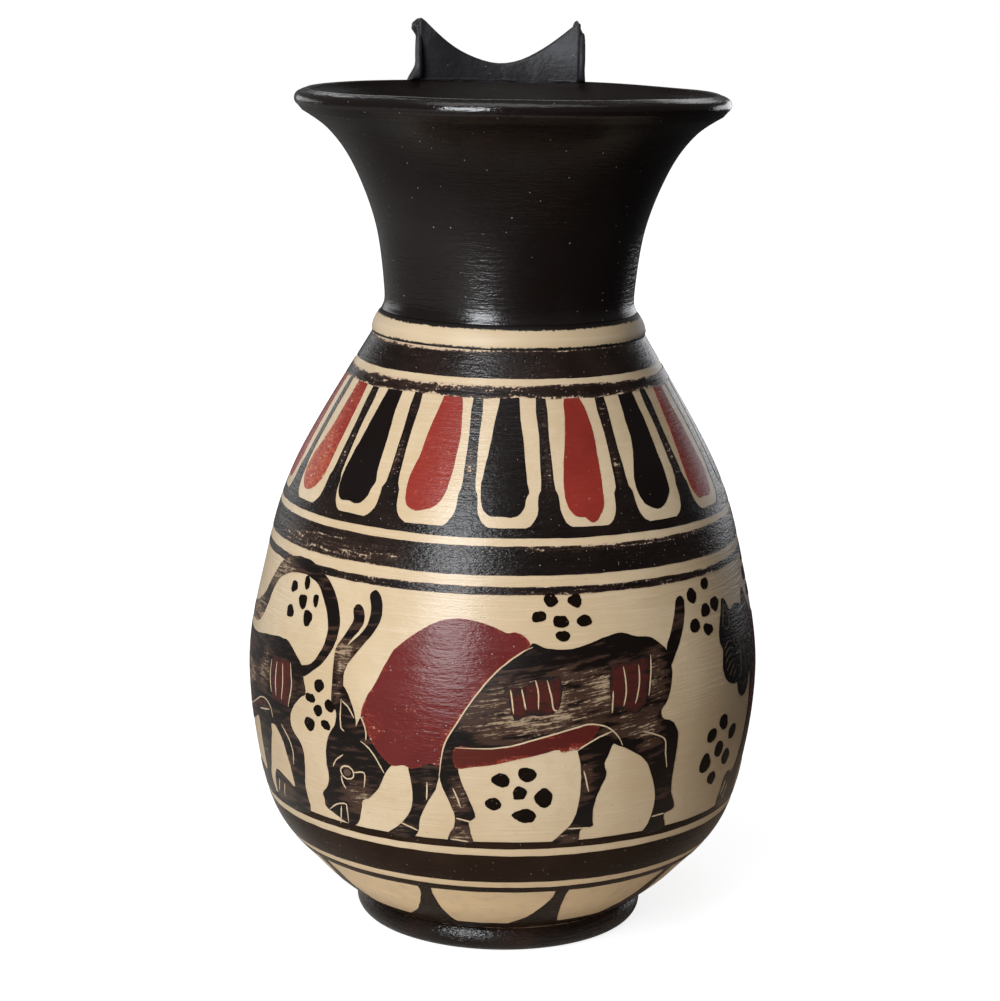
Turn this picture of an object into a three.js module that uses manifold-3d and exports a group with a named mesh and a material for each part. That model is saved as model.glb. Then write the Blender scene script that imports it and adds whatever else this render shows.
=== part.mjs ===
// A round-bellied pitcher of fired clay with a flared mouth and a strap handle.
// Millimetres, +Z up. The origin is the centre of the foot's flat underside, and the handle is at +Y.
import * as THREE from 'three';
import { mergeVertices } from 'three/addons/utils/BufferGeometryUtils.js';
import Module from 'manifold-3d';

const wasm = await Module();
wasm.setup();

// Driving dimensions shared by the thrown pieces
const wall = 4.6;
const seamGap = 0.3; // the thin slip seam between two clay pieces
const turns = 60; // facets round a thrown piece
const outerSteps = 20; // points up the outside of the body
const innerSteps = 12; // points up the inside of the body or neck
const neckSteps = 14; // points up the outside of the neck

// Foot: a turned disc with a rounded lower edge
const footHeight = 6.85;
const footBaseRadius = 36.5;
const footEdgeHeight = 4.4; // where the foot is widest
const footSwell = 0.3; // how far the foot stands out past the heel of the body

// Body: outer radii at stations up the wall, whose levels are shares of the body's own height
const bodyHeight = 159.85;
const floorThickness = 6;
const heelRadius = 40.2;
const lowerBelly = { level: 0.069, radius: 52.7 };
const middleBelly = { level: 0.182, radius: 65.9 };
const fullBelly = { level: 0.406, radius: 71.6 };
const upperBelly = { level: 0.594, radius: 67.3 };
const shoulder = { level: 0.769, radius: 58.9 };
const shoulderTopRadius = 37.9;

// Neck: outer radii at stations up to the underside of the lip, in shares of the neck's height
const neckHeight = 65.9;
const neckWaist = { level: 0.167, radius: 34.5 };
const neckMiddle = { level: 0.44, radius: 37 };
const neckFlare = { level: 0.683, radius: 43.1 };
const mouthFlare = { level: 0.835, radius: 50.2 };
const lipUnderside = { level: 0.927, radius: 59 };
const lipRadius = 59.5;
const lipFall = 2.7; // how far the middle of the lip's outer edge lies below its crest
const lipRound = 1.2; // radius of the lip's rounded outer edge
const crestRadius = 56; // where the lip is highest: its face slopes down from there to the outer edge
const crestRound = 0.6;
const lipSlope = 55; // degrees from level at which both rounds meet the lip's sloped face
const lipUndercut = -15; // degrees from level at which the outer round meets the lip's underside
const crestInside = [120, 150]; // degrees from level between which the crest rounds off to the mouth
const lipDepth = 7; // height of the thickened part of the lip

// Collar: a raised ring that covers the seam between body and neck
const collarHeight = 6;
const collarTopRadius = 35.2;
const collarThickness = 2.6;

// Handle: a strap from the shoulder up to the back of the lip, spreading into a saddle
const rootHeight = 128; // where the middle of the strap lands on the shoulder
const rootWidth = 36;
const rootDepth = 7; // how far the root is modelled into the shoulder before it is trimmed
const strapWidth = 27;
const strapThickness = 8.4;
const strapBow = 5.5; // how far the strap stands out past the line from root to lip
const strapTurn = 1.8; // how far outside the lip's edge the strap's middle line turns in over it
const strapTurnDepth = 2.6; // and how far below the saddle's middle line it does so
const saddleWidth = 44.6;
const saddleThickness = 6.4;
const saddleRise = 5; // the middle of the saddle above the lip's crest
const wingRise = 15.2; // how far the saddle's sides lift above its middle, before their edges are rounded
const wingSweep = 1.75; // power of the saddle's curve from middle to edge
const strapSquareness = 2.9; // power of the section's sides: 2 is an oval, a high power a rectangle
const saddleSquareness = 8;
const strapStations = 34;
const strapRing = 24;

// Rotelles: discs that flank the saddle
const rotelleRadius = 12.9;
const rotelleThickness = 2;
const rotelleRound = 0.8;
const rotelleSetback = 0.5; // the discs' middle stands this far behind the lip's outer edge
const rotelleDrop = 2.6; // the discs' top edge below the full rise of the saddle's sides
const rotelleTurns = 40;

// Heights that follow from the sizes above
const heelHeight = footHeight + seamGap;
const jointHeight = footHeight + bodyHeight;
const lipTop = jointHeight + neckHeight;
const lipEdgeHeight = lipTop - lipFall;

function stationPoint(station, base, height) {
  return new THREE.Vector2(station.radius, base + station.level * height);
}

const bodyOutline = new THREE.SplineCurve([
  new THREE.Vector2(heelRadius, heelHeight),
  stationPoint(lowerBelly, footHeight, bodyHeight),
  stationPoint(middleBelly, footHeight, bodyHeight),
  stationPoint(fullBelly, footHeight, bodyHeight),
  stationPoint(upperBelly, footHeight, bodyHeight),
  stationPoint(shoulder, footHeight, bodyHeight),
  new THREE.Vector2(shoulderTopRadius, jointHeight - seamGap / 2),
]);

const neckOutline = new THREE.SplineCurve([
  new THREE.Vector2(collarTopRadius, jointHeight + collarHeight + seamGap),
  stationPoint(neckWaist, jointHeight, neckHeight),
  stationPoint(neckMiddle, jointHeight, neckHeight),
  stationPoint(neckFlare, jointHeight, neckHeight),
  stationPoint(mouthFlare, jointHeight, neckHeight),
  stationPoint(lipUnderside, jointHeight, neckHeight),
]);

// Evenly spaced points along an outline, each moved by an offset away from the pot's axis
function offsetOutline(outline, steps, offset) {
  const points = [];
  for (let i = 0; i <= steps; i++) {
    const point = outline.getPointAt(i / steps);
    const tangent = outline.getTangentAt(i / steps);
    points.push(new THREE.Vector2(point.x + tangent.y * offset, point.y - tangent.x * offset));
  }
  return points;
}

// Points of an arc in the plane of an outline, from one angle to another in degrees
function arcPoints(centreRadius, centreHeight, radius, from, to, steps) {
  const points = [];
  for (let i = 0; i <= steps; i++) {
    const angle = THREE.MathUtils.degToRad(from + ((to - from) * i) / steps);
    points.push(new THREE.Vector2(
      centreRadius + radius * Math.cos(angle),
      centreHeight + radius * Math.sin(angle),
    ));
  }
  return points;
}

// A closed outline turned about the pot's axis
function turned(points, facets = turns) {
  return new THREE.LatheGeometry(points, facets).rotateX(Math.PI / 2);
}

function toSolid(geometry) {
  const bare = geometry.clone();
  bare.deleteAttribute('normal');
  bare.deleteAttribute('uv');
  const merged = mergeVertices(bare, 1e-4);
  return new wasm.Manifold(new wasm.Mesh({
    numProp: 3,
    vertProperties: merged.attributes.position.array,
    triVerts: new Uint32Array(merged.index.array),
  }));
}

function toGeometry(solid) {
  const mesh = solid.getMesh();
  const geometry = new THREE.BufferGeometry();
  geometry.setAttribute('position', new THREE.BufferAttribute(mesh.vertProperties, 3));
  geometry.setIndex(new THREE.BufferAttribute(mesh.triVerts, 1));
  geometry.computeVertexNormals();
  return geometry;
}

const slipBlack = { color: 0x1b1512, roughness: 0.42, metalness: 0 };
const slipCream = { color: 0xd9bf93, roughness: 0.62, metalness: 0 };

function addPiece(group, name, geometry, finish) {
  const mesh = new THREE.Mesh(geometry, new THREE.MeshStandardMaterial(finish));
  mesh.name = name;
  group.add(mesh);
}

function footGeometry() {
  const edge = heelRadius + footSwell;
  const lowerEdge = new THREE.EllipseCurve(
    footBaseRadius, footEdgeHeight, edge - footBaseRadius, footEdgeHeight, -Math.PI / 2, 0,
  ).getPoints(5);
  return turned([
    new THREE.Vector2(0, 0),
    ...lowerEdge,
    new THREE.Vector2(heelRadius, footHeight),
    new THREE.Vector2(0, footHeight),
  ]);
}

// The neck's bore at its lower end, which the body's top opening matches
const throatRadius = neckWaist.radius - wall;

function bodyGeometry() {
  const outside = offsetOutline(bodyOutline, outerSteps, 0);
  const floorTop = heelHeight + floorThickness;
  const inside = offsetOutline(bodyOutline, innerSteps, -wall).filter((point) => point.y > floorTop);
  const floorEdge = new THREE.Vector2(inside[0].x - wall, floorTop);
  return turned([
    new THREE.Vector2(0, heelHeight),
    ...outside,
    new THREE.Vector2(throatRadius, jointHeight - seamGap / 2),
    ...inside.reverse(),
    floorEdge,
    new THREE.Vector2(0, floorTop),
  ]);
}

// The lip's face, from its rounded outer edge up to its crest, moved out by an offset
function lipFace(offset) {
  return [
    ...arcPoints(lipRadius - lipRound, lipEdgeHeight, lipRound + offset, lipUndercut, lipSlope, 3),
    ...arcPoints(crestRadius, lipTop - crestRound, crestRound + offset, lipSlope, 90, 1),
  ];
}

const collarInnerRadius = collarTopRadius - collarThickness;

function neckGeometry() {
  const outside = offsetOutline(neckOutline, neckSteps, 0);
  const inside = offsetOutline(neckOutline, innerSteps, -wall).filter(
    (point) => point.y < lipTop - lipDepth && point.x < crestRadius,
  );
  return turned([
    new THREE.Vector2(throatRadius, jointHeight + seamGap / 2),
    new THREE.Vector2(collarInnerRadius - seamGap, jointHeight + seamGap / 2),
    new THREE.Vector2(collarInnerRadius - seamGap, jointHeight + collarHeight + seamGap),
    ...outside,
    ...lipFace(0),
    ...arcPoints(crestRadius, lipTop - crestRound, crestRound, ...crestInside, 1),
    ...inside.reverse(),
    new THREE.Vector2(throatRadius, jointHeight + seamGap / 2),
  ]);
}

function collarGeometry() {
  const bottom = jointHeight + seamGap / 2;
  const top = jointHeight + collarHeight;
  const face = new THREE.QuadraticBezierCurve(
    new THREE.Vector2(shoulderTopRadius, bottom),
    new THREE.Vector2(shoulderTopRadius, (bottom + top) / 2),
    new THREE.Vector2(collarTopRadius, top),
  ).getPoints(4);
  return turned([
    new THREE.Vector2(collarInnerRadius, bottom),
    ...face,
    new THREE.Vector2(collarInnerRadius, top),
    new THREE.Vector2(collarInnerRadius, bottom),
  ]);
}

// Filled shapes of the pot's outside, one seam wider, that trim the handle where it is luted on
function bodyTrim() {
  return toSolid(turned([
    new THREE.Vector2(0, heelHeight),
    ...offsetOutline(bodyOutline, outerSteps, seamGap),
    new THREE.Vector2(0, jointHeight),
  ]));
}

// Its mouth is filled up to the given height, so that what it trims stays clear of the mouth up to there
function lipTrim(filledTo) {
  return toSolid(turned([
    new THREE.Vector2(0, jointHeight + collarHeight),
    ...offsetOutline(neckOutline, neckSteps, seamGap),
    ...lipFace(seamGap),
    new THREE.Vector2(crestRadius, filledTo),
    new THREE.Vector2(0, filledTo),
  ]));
}

// The outer radius of the body at a height, found by halving along its outline
function bodyRadiusAt(height) {
  let low = 0;
  let high = 1;
  for (let i = 0; i < 30; i++) {
    const middle = (low + high) / 2;
    if (bodyOutline.getPoint(middle).y < height) low = middle;
    else high = middle;
  }
  return bodyOutline.getPoint(low).x;
}

// The strap's middle line in the plane of the handle: x is the distance from the axis, y the height
const saddleTop = lipTop + saddleRise;
const saddleMiddle = saddleTop - saddleThickness / 2;
// The line ends level, and far enough inside the crest for the trim to cut the saddle over its whole width
const saddleEnd = Math.sqrt(crestRadius ** 2 - (saddleWidth / 2) ** 2) - 2 * seamGap;
const strapLine = (() => {
  const rootRadius = bodyRadiusAt(rootHeight);
  const lipBack = lipRadius + seamGap + strapThickness / 2;
  const climb = lipEdgeHeight - rootHeight;
  const bowed = (share) => new THREE.Vector2(
    THREE.MathUtils.lerp(rootRadius, lipBack, share) + strapBow * Math.sin(Math.PI * share),
    rootHeight + share * climb,
  );
  return new THREE.CatmullRomCurve3([
    new THREE.Vector2(rootRadius - rootDepth, rootHeight - rootDepth),
    new THREE.Vector2(rootRadius, rootHeight),
    bowed(1 / 5),
    bowed(1 / 2),
    bowed(3 / 4),
    new THREE.Vector2(lipBack, lipEdgeHeight - lipFall),
    new THREE.Vector2(lipRadius + strapTurn, saddleMiddle - strapTurnDepth),
    new THREE.Vector2(crestRadius, saddleMiddle),
    new THREE.Vector2(saddleEnd, saddleMiddle),
  ].map((point) => new THREE.Vector3(0, point.x, point.y)), false, 'centripetal');
})();

// Blends from 0 to 1 as the value goes from one bound to the other
function blend(value, from, to) {
  return THREE.MathUtils.smoothstep(value, from, to);
}

// A loft of rounded flat sections, whose outer side lifts into two wings at the saddle
function strapGeometry() {
  const positions = [];
  for (let i = 0; i <= strapStations; i++) {
    const along = i / strapStations;
    const centre = strapLine.getPointAt(along);
    const tangent = strapLine.getTangentAt(along);
    const outward = new THREE.Vector3(0, tangent.z, -tangent.y);
    const nearLip = blend(centre.z, lipEdgeHeight - 4 * strapThickness, saddleTop - saddleThickness);
    const nearRoot = 1 - blend(centre.z, rootHeight - rootDepth, rootHeight + 4 * strapThickness);
    const width = strapWidth + (saddleWidth - strapWidth) * nearLip + (rootWidth - strapWidth) * nearRoot;
    const thickness = THREE.MathUtils.lerp(strapThickness, saddleThickness, nearLip);
    const rise = wingRise * Math.max(outward.z, 0) * nearLip;
    const squareness = THREE.MathUtils.lerp(strapSquareness, saddleSquareness, nearLip);
    for (let j = 0; j < strapRing; j++) {
      const angle = (2 * Math.PI * j) / strapRing;
      const across = Math.cos(angle);
      const through = Math.sign(Math.sin(angle)) * (1 - Math.abs(across) ** squareness) ** (1 / squareness);
      const lift = rise * Math.abs(across) ** wingSweep * (through + 1) / 2;
      const point = centre.clone().addScaledVector(outward, (through * thickness) / 2 + lift);
      positions.push((across * width) / 2, point.y, point.z);
    }
  }
  const index = [];
  for (let i = 0; i < strapStations; i++) {
    for (let j = 0; j < strapRing; j++) {
      const a = i * strapRing + j;
      const b = i * strapRing + ((j + 1) % strapRing);
      index.push(a, b, b + strapRing, a, b + strapRing, a + strapRing);
    }
  }
  const last = strapStations * strapRing;
  for (let j = 1; j < strapRing - 1; j++) {
    index.push(0, j + 1, j, last, last + j, last + j + 1);
  }
  const loft = new THREE.BufferGeometry();
  loft.setAttribute('position', new THREE.Float32BufferAttribute(positions, 3));
  loft.setIndex(index);
  return toGeometry(toSolid(loft).subtract(bodyTrim()).subtract(lipTrim(saddleTop + wingRise + rotelleRadius)));
}

// A disc on edge beside the saddle, with rounded rims, seated on the lip
function rotelleGeometry(side) {
  const half = rotelleThickness / 2;
  const flat = rotelleRadius - rotelleRound;
  const disc = new THREE.LatheGeometry([
    new THREE.Vector2(0, -half),
    ...arcPoints(flat, rotelleRound - half, rotelleRound, -90, 0, 2),
    ...arcPoints(flat, half - rotelleRound, rotelleRound, 0, 90, 2),
    new THREE.Vector2(0, half),
  ], rotelleTurns);
  disc.rotateZ(Math.PI / 2);
  disc.translate(
    side * (saddleWidth / 2 + seamGap + half),
    lipRadius + rotelleSetback,
    saddleTop + wingRise - rotelleDrop - rotelleRadius,
  );
  return toGeometry(toSolid(disc).subtract(lipTrim(lipTop + seamGap)));
}

const pitcher = new THREE.Group();
addPiece(pitcher, 'foot', footGeometry(), slipBlack);
addPiece(pitcher, 'body', bodyGeometry(), slipCream);
addPiece(pitcher, 'collar_ring', collarGeometry(), slipCream);
addPiece(pitcher, 'neck', neckGeometry(), slipBlack);
addPiece(pitcher, 'handle_strap', strapGeometry(), slipBlack);
addPiece(pitcher, 'rotelle_left', rotelleGeometry(-1), slipBlack);
addPiece(pitcher, 'rotelle_right', rotelleGeometry(1), slipBlack);

export default pitcher;
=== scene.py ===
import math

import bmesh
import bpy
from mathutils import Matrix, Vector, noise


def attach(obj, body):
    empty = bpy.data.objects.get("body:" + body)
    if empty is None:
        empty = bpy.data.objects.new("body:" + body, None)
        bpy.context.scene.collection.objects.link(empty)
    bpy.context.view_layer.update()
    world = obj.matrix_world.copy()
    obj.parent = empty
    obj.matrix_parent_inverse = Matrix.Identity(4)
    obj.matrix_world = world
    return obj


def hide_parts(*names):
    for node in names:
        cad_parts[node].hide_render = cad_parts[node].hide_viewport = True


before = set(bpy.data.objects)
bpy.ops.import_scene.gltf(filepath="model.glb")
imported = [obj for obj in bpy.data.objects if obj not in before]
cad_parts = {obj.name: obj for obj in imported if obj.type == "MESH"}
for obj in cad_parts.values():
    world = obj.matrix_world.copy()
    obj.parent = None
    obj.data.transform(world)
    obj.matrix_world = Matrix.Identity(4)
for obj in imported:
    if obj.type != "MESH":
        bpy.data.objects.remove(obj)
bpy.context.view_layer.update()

# A painted clay pitcher: thrown and pulled clay pieces, with slip paint laid on them as thin skins.
# Lengths are in millimetres and become metres as a mesh is finished. +Z is up, the handle is at +Y,
# and the painted front is at -Y. A place in the painting is (round, height): round is the distance
# walked round the pot from the front, to the right, measured on a circle of WALK_RADIUS.

MM = 0.001
MERGE = 1e-3
FULL_TURN = 2 * math.pi

# The ragged edges are drawn from one seed, so that every run paints the same pot
SEED = 4
noise.seed_set(SEED)

# Thrown clay
CLAY_STEPS = 160
SLIP_ROOM = 0.25
SEAM = 0.3
WALL = 4.6
FOOT_EDGE = 40.5
FOOT_BASE = 36.5
FOOT_EDGE_HEIGHT = 4.4
HEEL_HEIGHT = 7.15
FOOT_RING = 8
FOOT_STEP = [(40.38, 5.0), (40.12, 5.6), (39.8, 6.2), (39.45, 6.7), (38.9, 7.1), (30, 7.6), (0, 7.6)]
FOOT_WAVER = 0.12
FLOOR_TOP = 13.15
BODY_TOP = 166.55
THROAT_RADIUS = 29.9
BODY_STATIONS = [
    (40.2, HEEL_HEIGHT), (52.7, 17.88), (65.9, 35.94), (71.6, 71.75),
    (67.3, 101.8), (58.9, 129.77), (37.9, BODY_TOP),
]
COLLAR_TOP = 172.7
COLLAR_INNER_RADIUS = 32.2
COLLAR_OUTLINE = [
    (COLLAR_INNER_RADIUS, 166.6), (37.7, 166.6), (37.92, 167.7), (37.55, 169.3), (36.9, 170.7),
    (36.1, 171.9), (35.35, COLLAR_TOP), (34.2, 173.3), (COLLAR_INNER_RADIUS, 173.3),
]
NECK_STATIONS = [
    (35.2, 173.0), (34.5, 177.71), (37.0, 195.7), (43.1, 211.71), (50.2, 221.73), (59.0, 227.79),
]
NECK_FOOT = 166.8
NECK_STEP = 173.0
FLARE_HEIGHT = 30
LIP_RADIUS = 59.5
LIP_EDGE_HEIGHT = 229.9
LIP_ROUND = 2.0
LIP_DIP = (57.75, 232.0)
CREST_RADIUS = 56
CREST_ROUND = 1.0
MOUTH_SLOPE = [(54.3, 231.0), (52, 229.0)]
LIP_TOP = 232.6
LIP_DEPTH = 7
MOUTH_TILT = 0.5
BACK_LIFT = 0.3
RIM_WAVER = 0.3

# Handle. The left disc is side -1 and the right one is side 1
ROOT_HEIGHT = 128
ROOT_WIDTH = 36
ROOT_DEPTH = 7
STRAP_WIDTH = 27
STRAP_THICKNESS = 8.4
STRAP_BOW = 5.5
STRAP_DENT = 0.35
STRAP_NAPE = 2.7
STRAP_TURN = 1.8
STRAP_TURN_DEPTH = 2.6
SADDLE_WIDTH = 47.0
SADDLE_THICKNESS = 6.4
SADDLE_TOP = 237.6
SADDLE_DIP_REACH = 2.8
SADDLE_DIP = 0.2
FRONT_DEPTH = 20
WING_RISE = 14.2
RIGHT_WING_DROP = 0.07
SADDLE_EDGE = 0.8
WING_SWEEP = 1.85
STRAP_SQUARENESS = 2.9
SADDLE_SQUARENESS = 16
STRAP_STATIONS = 70
STRAP_RING = 64
ROTELLE_STEPS = 72
ROTELLE_DENT = 0.3
ROTELLE_RADIUS = 12.9
ROTELLE_THICKNESS = 2
ROTELLE_ROUND = 0.8
ROTELLE_CENTRE = (23.6, 60.0, 237.3)
KNOB_HEIGHT = 247.9
KNOB_REACH = (1.2, 3.4)
TOP_REACH = 2
OUTER_FACE = (-0.4, 0.9)
SPREAD_HEIGHTS = (LIP_TOP - 2, LIP_TOP + 4.5)
RIM_MARGIN = 0.5
KNOB_SWELL = {-1: 0.6, 1: 0.0}
LUTING_REACH = 22.8
LUTING_INSET = 0.6
LUTING_SWELL = 0.5
LUTING_LUMP = 0.45
LUTING_LEAST = 0.25
LUTING_END = 0.2
LUTING_FLARE = {-1: 1.8, 1: 0.3}
TOP_SLANT = {-1: 0.9, 1: 2.4}
HOLLOW = {-1: 1.0, 1: 0.0}

# Slip paint: its flat drawing, and how far each coat stands off the clay
WALK_RADIUS = 70
HALF_ROUND = math.pi * WALK_RADIUS
PITCH = 3
COAT_ROOT = -0.12
BAND_COAT = 0.09
GROUND_COAT = 0.102
FIGURE_COAT = 0.11
BODY_COAT = 0.114
LIMB_COAT = 0.118
OVER_COAT = 0.122
MANE_COAT = 0.13
SECOND_COAT = 0.14
SCRATCH_COAT = 0.17
EDGE_WAVE = 0.45
EDGE_FRAY = 1.6
SHORT_LINE_STEPS = 6
LINE_END = 6
LINE_UNEVEN = 0.25
CORNER_SHIFT = 0.45
CORNER_REACH = 1.04
CORNER_UNEVEN = 0.34
ROW_HEIGHT = 2.5
BAND_CIRCLE = 5
SPOT_CORE = 0.35
CUT_START = 0.37


# Curves

# Points of a smooth curve through the given ones: power 0 keeps even spans, 0.5 follows their lengths
def curve(points, steps, power=0.5, closed=False):
    points = [Vector(point) for point in points]
    if closed:
        line = [points[-1], *points, points[0], points[1]]
    elif power:
        line = [2 * points[0] - points[1], *points, 2 * points[-1] - points[-2]]
    else:
        line = [points[0], *points, points[-1]]
    made = []
    for before, start, end, after in zip(line, line[1:], line[2:], line[3:]):
        span_a = max((start - before).length, 1e-6) ** power
        span_b = max((end - start).length, 1e-6) ** power
        span_c = max((after - end).length, 1e-6) ** power
        leave = (start - before) / span_a - (end - before) / (span_a + span_b) + (end - start) / span_b
        arrive = (end - start) / span_b - (after - start) / (span_b + span_c) + (after - end) / span_c
        leave *= span_b
        arrive *= span_b
        for step in range(steps):
            share = step / steps
            square = share * share
            cube = square * share
            made.append(
                start * (2 * cube - 3 * square + 1) + leave * (cube - 2 * square + share)
                + end * (3 * square - 2 * cube) + arrive * (cube - square)
            )
    if not closed:
        made.append(points[-1])
    return made


# Points at even distances along a line
def evenly(points, count):
    lengths = [0]
    for start, end in zip(points, points[1:]):
        lengths.append(lengths[-1] + (end - start).length)
    made = []
    index = 0
    for step in range(count + 1):
        goal = lengths[-1] * step / count
        while index < len(points) - 2 and lengths[index + 1] < goal:
            index += 1
        share = (goal - lengths[index]) / (lengths[index + 1] - lengths[index])
        made.append(points[index].lerp(points[index + 1], min(share, 1)))
    return made


# The way that a line runs at one of its points
def run_at(line, index):
    return line[min(index + 1, len(line) - 1)] - line[max(index - 1, 0)]


# The outline of a thrown wall, moved by an offset away from the pot's axis
def moved_outline(outline, offset):
    moved = []
    for index, point in enumerate(outline):
        along = run_at(outline, index)
        moved.append(point + Vector((along.y, -along.x)).normalized() * offset)
    return moved


# Points of a part of a circle, with its angles in degrees
def arc(centre, radius, start, end, steps):
    made = []
    for step in range(steps + 1):
        angle = math.radians(start + (end - start) * step / steps)
        made.append(Vector((centre[0] + radius * math.cos(angle), centre[1] + radius * math.sin(angle))))
    return made


# How far a value has got from low to high, with soft ends
def ease(value, low, high):
    share = min(max((value - low) / (high - low), 0), 1)
    return share * share * (3 - 2 * share)


def mix(start, end, share):
    return start + (end - start) * share


# A smooth unevenness from -1 to 1, always the same at one place
def wave(*place):
    return noise.noise(Vector(place))


BODY_OUTLINE = moved_outline(curve(BODY_STATIONS, 16, power=0), -SLIP_ROOM)
NECK_OUTLINE = curve(NECK_STATIONS, 12, power=0)


# The clay surface at a height: its radius, and how far its normal leans out and up
def body_surface(height):
    low = 0
    high = len(BODY_OUTLINE) - 1
    while high - low > 1:
        middle = (low + high) // 2
        if BODY_OUTLINE[middle].y <= height:
            low = middle
        else:
            high = middle
    start = BODY_OUTLINE[low]
    along = BODY_OUTLINE[high] - start
    share = (height - start.y) / along.y
    lean = Vector((along.y, -along.x)).normalized()
    return start.x + along.x * share, lean


# A place in the painting, put on the body with a distance off the clay
def on_body(walked, height, off):
    radius, lean = body_surface(height)
    angle = walked / WALK_RADIUS
    reach = radius + lean.x * off
    return Vector((reach * math.sin(angle), -reach * math.cos(angle), height + lean.y * off))


# Finishing a mesh

def finish_piece(name, bm, materials, replaced=None, crease=35):
    for edge in bm.edges:
        edge.smooth = len(edge.link_faces) == 2 and edge.calc_face_angle(0) < math.radians(crease)
    for face in bm.faces:
        face.smooth = True
    bmesh.ops.scale(bm, vec=(MM, MM, MM), verts=bm.verts)
    mesh = bpy.data.meshes.new(name)
    bm.to_mesh(mesh)
    bm.free()
    piece = bpy.data.objects.new(name, mesh)
    bpy.context.scene.collection.objects.link(piece)
    for material in materials:
        mesh.materials.append(material)
    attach(piece, "root")
    if replaced:
        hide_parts(replaced)


# One side's outline, turned about the pot's axis into a closed piece of clay
def turned(outline, closed=False, steps=CLAY_STEPS):
    bm = bmesh.new()
    verts = [bm.verts.new((point[0], 0, point[1])) for point in outline]
    edges = [bm.edges.new(pair) for pair in zip(verts, verts[1:])]
    if closed:
        edges.append(bm.edges.new((verts[-1], verts[0])))
    bmesh.ops.spin(
        bm, geom=verts + edges, cent=(0, 0, 0), axis=(0, 0, 1), angle=FULL_TURN, steps=steps,
        use_merge=True,
    )
    bmesh.ops.remove_doubles(bm, verts=bm.verts, dist=MERGE)
    bmesh.ops.recalc_face_normals(bm, faces=bm.faces)
    return bm


# The hand's slight waver in a thrown wall, which leaves the middle of a disc as it is
def waver(bm, amount, still=5, height=26):
    for vert in bm.verts:
        reach = math.hypot(vert.co.x, vert.co.y)
        if reach < still:
            continue
        way = Vector((vert.co.x / reach, vert.co.y / reach, 0))
        swell = wave(way.x * 0.9, way.y * 0.9, vert.co.z / height) * amount
        vert.co += way * swell


# Slip skins are drawn flat, with x as the walk round the pot, z as the height and y as the depth

# An outline whose points are moved a little, in slow waves and in fine ones
def roughened(outline, amount, seed):
    made = []
    for point in outline:
        slow = noise.noise_vector(Vector((point.x * EDGE_WAVE, point.y * EDGE_WAVE, seed)))
        fine = noise.noise_vector(Vector((point.x * EDGE_FRAY, point.y * EDGE_FRAY, seed + 9)))
        made.append(point + (slow + fine * 0.5).to_2d() * amount)
    return made


# A filled shape from points round its edge
def fill_outline(skin, points, steps=3, rough=0.16, seed=0):
    outline = roughened(curve(points, steps, closed=True), rough, seed)
    face = skin.faces.new([skin.verts.new((point.x, 0, point.y)) for point in outline])
    face.normal_update()
    bmesh.ops.triangulate(skin, faces=[face])


# A brush stroke or a scratch along points, thinner towards its ends
def draw_line(skin, points, width, steps=4, taper=0.35, wobble=0.08, seed=0):
    points = [Vector(point) for point in points]
    line = curve(points, steps) if len(points) > 2 else evenly(points, SHORT_LINE_STEPS)
    line = roughened(line, wobble, seed)
    last = len(line) - 1
    edge = None
    for index, point in enumerate(line):
        along = run_at(line, index)
        across = Vector((-along.y, along.x)).normalized()
        end = min(index, last - index) / last
        half = width / 2 * mix(taper, 1, min(end * LINE_END, 1))
        half *= 1 + LINE_UNEVEN * wave(point.x * 0.6, point.y * 0.6, seed + 3)
        left = point + across * half
        right = point - across * half
        if edge is None:
            ends = [skin.verts.new((side.x, 0, side.y)) for side in (left, right)]
            edge = skin.edges.new(ends)
            continue
        grown = bmesh.ops.extrude_edge_only(skin, edges=[edge])["geom"]
        fresh = [item for item in grown if isinstance(item, bmesh.types.BMVert)]
        if fresh[0] not in [side.other_vert(ends[0]) for side in ends[0].link_edges]:
            fresh.reverse()
        ends = fresh
        edge = skin.edges.get(ends)
        for vert, side in zip(ends, (left, right)):
            vert.co = (side.x, 0, side.y)


# A brush mark: a roundish blot with a few soft corners and a ragged edge
def blot(skin, centre, width, height, seed, softness=0.24):
    count = 6 + seed % 2
    turn = wave(seed, 2.3, 0.7) * 3
    corners = []
    for index in range(count):
        shift = CORNER_SHIFT * wave(seed * 1.3, index * 2.9, 1)
        angle = FULL_TURN * (index + shift) / count + turn
        reach = CORNER_REACH + CORNER_UNEVEN * wave(seed * 3.1, index * 1.7, 5)
        corners.append(Vector((
            centre[0] + width / 2 * reach * math.cos(angle),
            centre[1] + height / 2 * reach * math.sin(angle),
        )))
    points = []
    for before, corner, after in zip([corners[-1], *corners], corners, [*corners[1:], corners[0]]):
        points += [corner.lerp(before, softness), corner.lerp(after, softness)]
    fill_outline(skin, points, rough=0.3, seed=seed)


# A band right round the pot, with a rim row at each edge
def band(skin, low, high, rough=0.14, rim=0.5, seed=0):
    rim = min(rim, (high - low) / 3)
    inner = max(1, round((high - low - 2 * rim) / ROW_HEIGHT))
    heights = [low] + [mix(low + rim, high - rim, row / inner) for row in range(inner + 1)] + [high]
    columns = round(2 * HALF_ROUND / PITCH * 1.5)
    grid = bmesh.ops.create_grid(skin, x_segments=columns, y_segments=len(heights) - 1, size=1)
    for vert in grid["verts"]:
        row = round((vert.co.y + 1) / 2 * (len(heights) - 1))
        walked = vert.co.x * HALF_ROUND
        angle = walked / WALK_RADIUS
        upper = row * 2 >= len(heights)
        place = Vector((math.sin(angle) * BAND_CIRCLE, math.cos(angle) * BAND_CIRCLE, seed + 7 * upper))
        drift = noise.noise(place * 0.5) * rough * 1.6 + noise.noise(place * 3.2) * rough
        vert.co = (walked, 0, heights[row] + drift)


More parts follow.
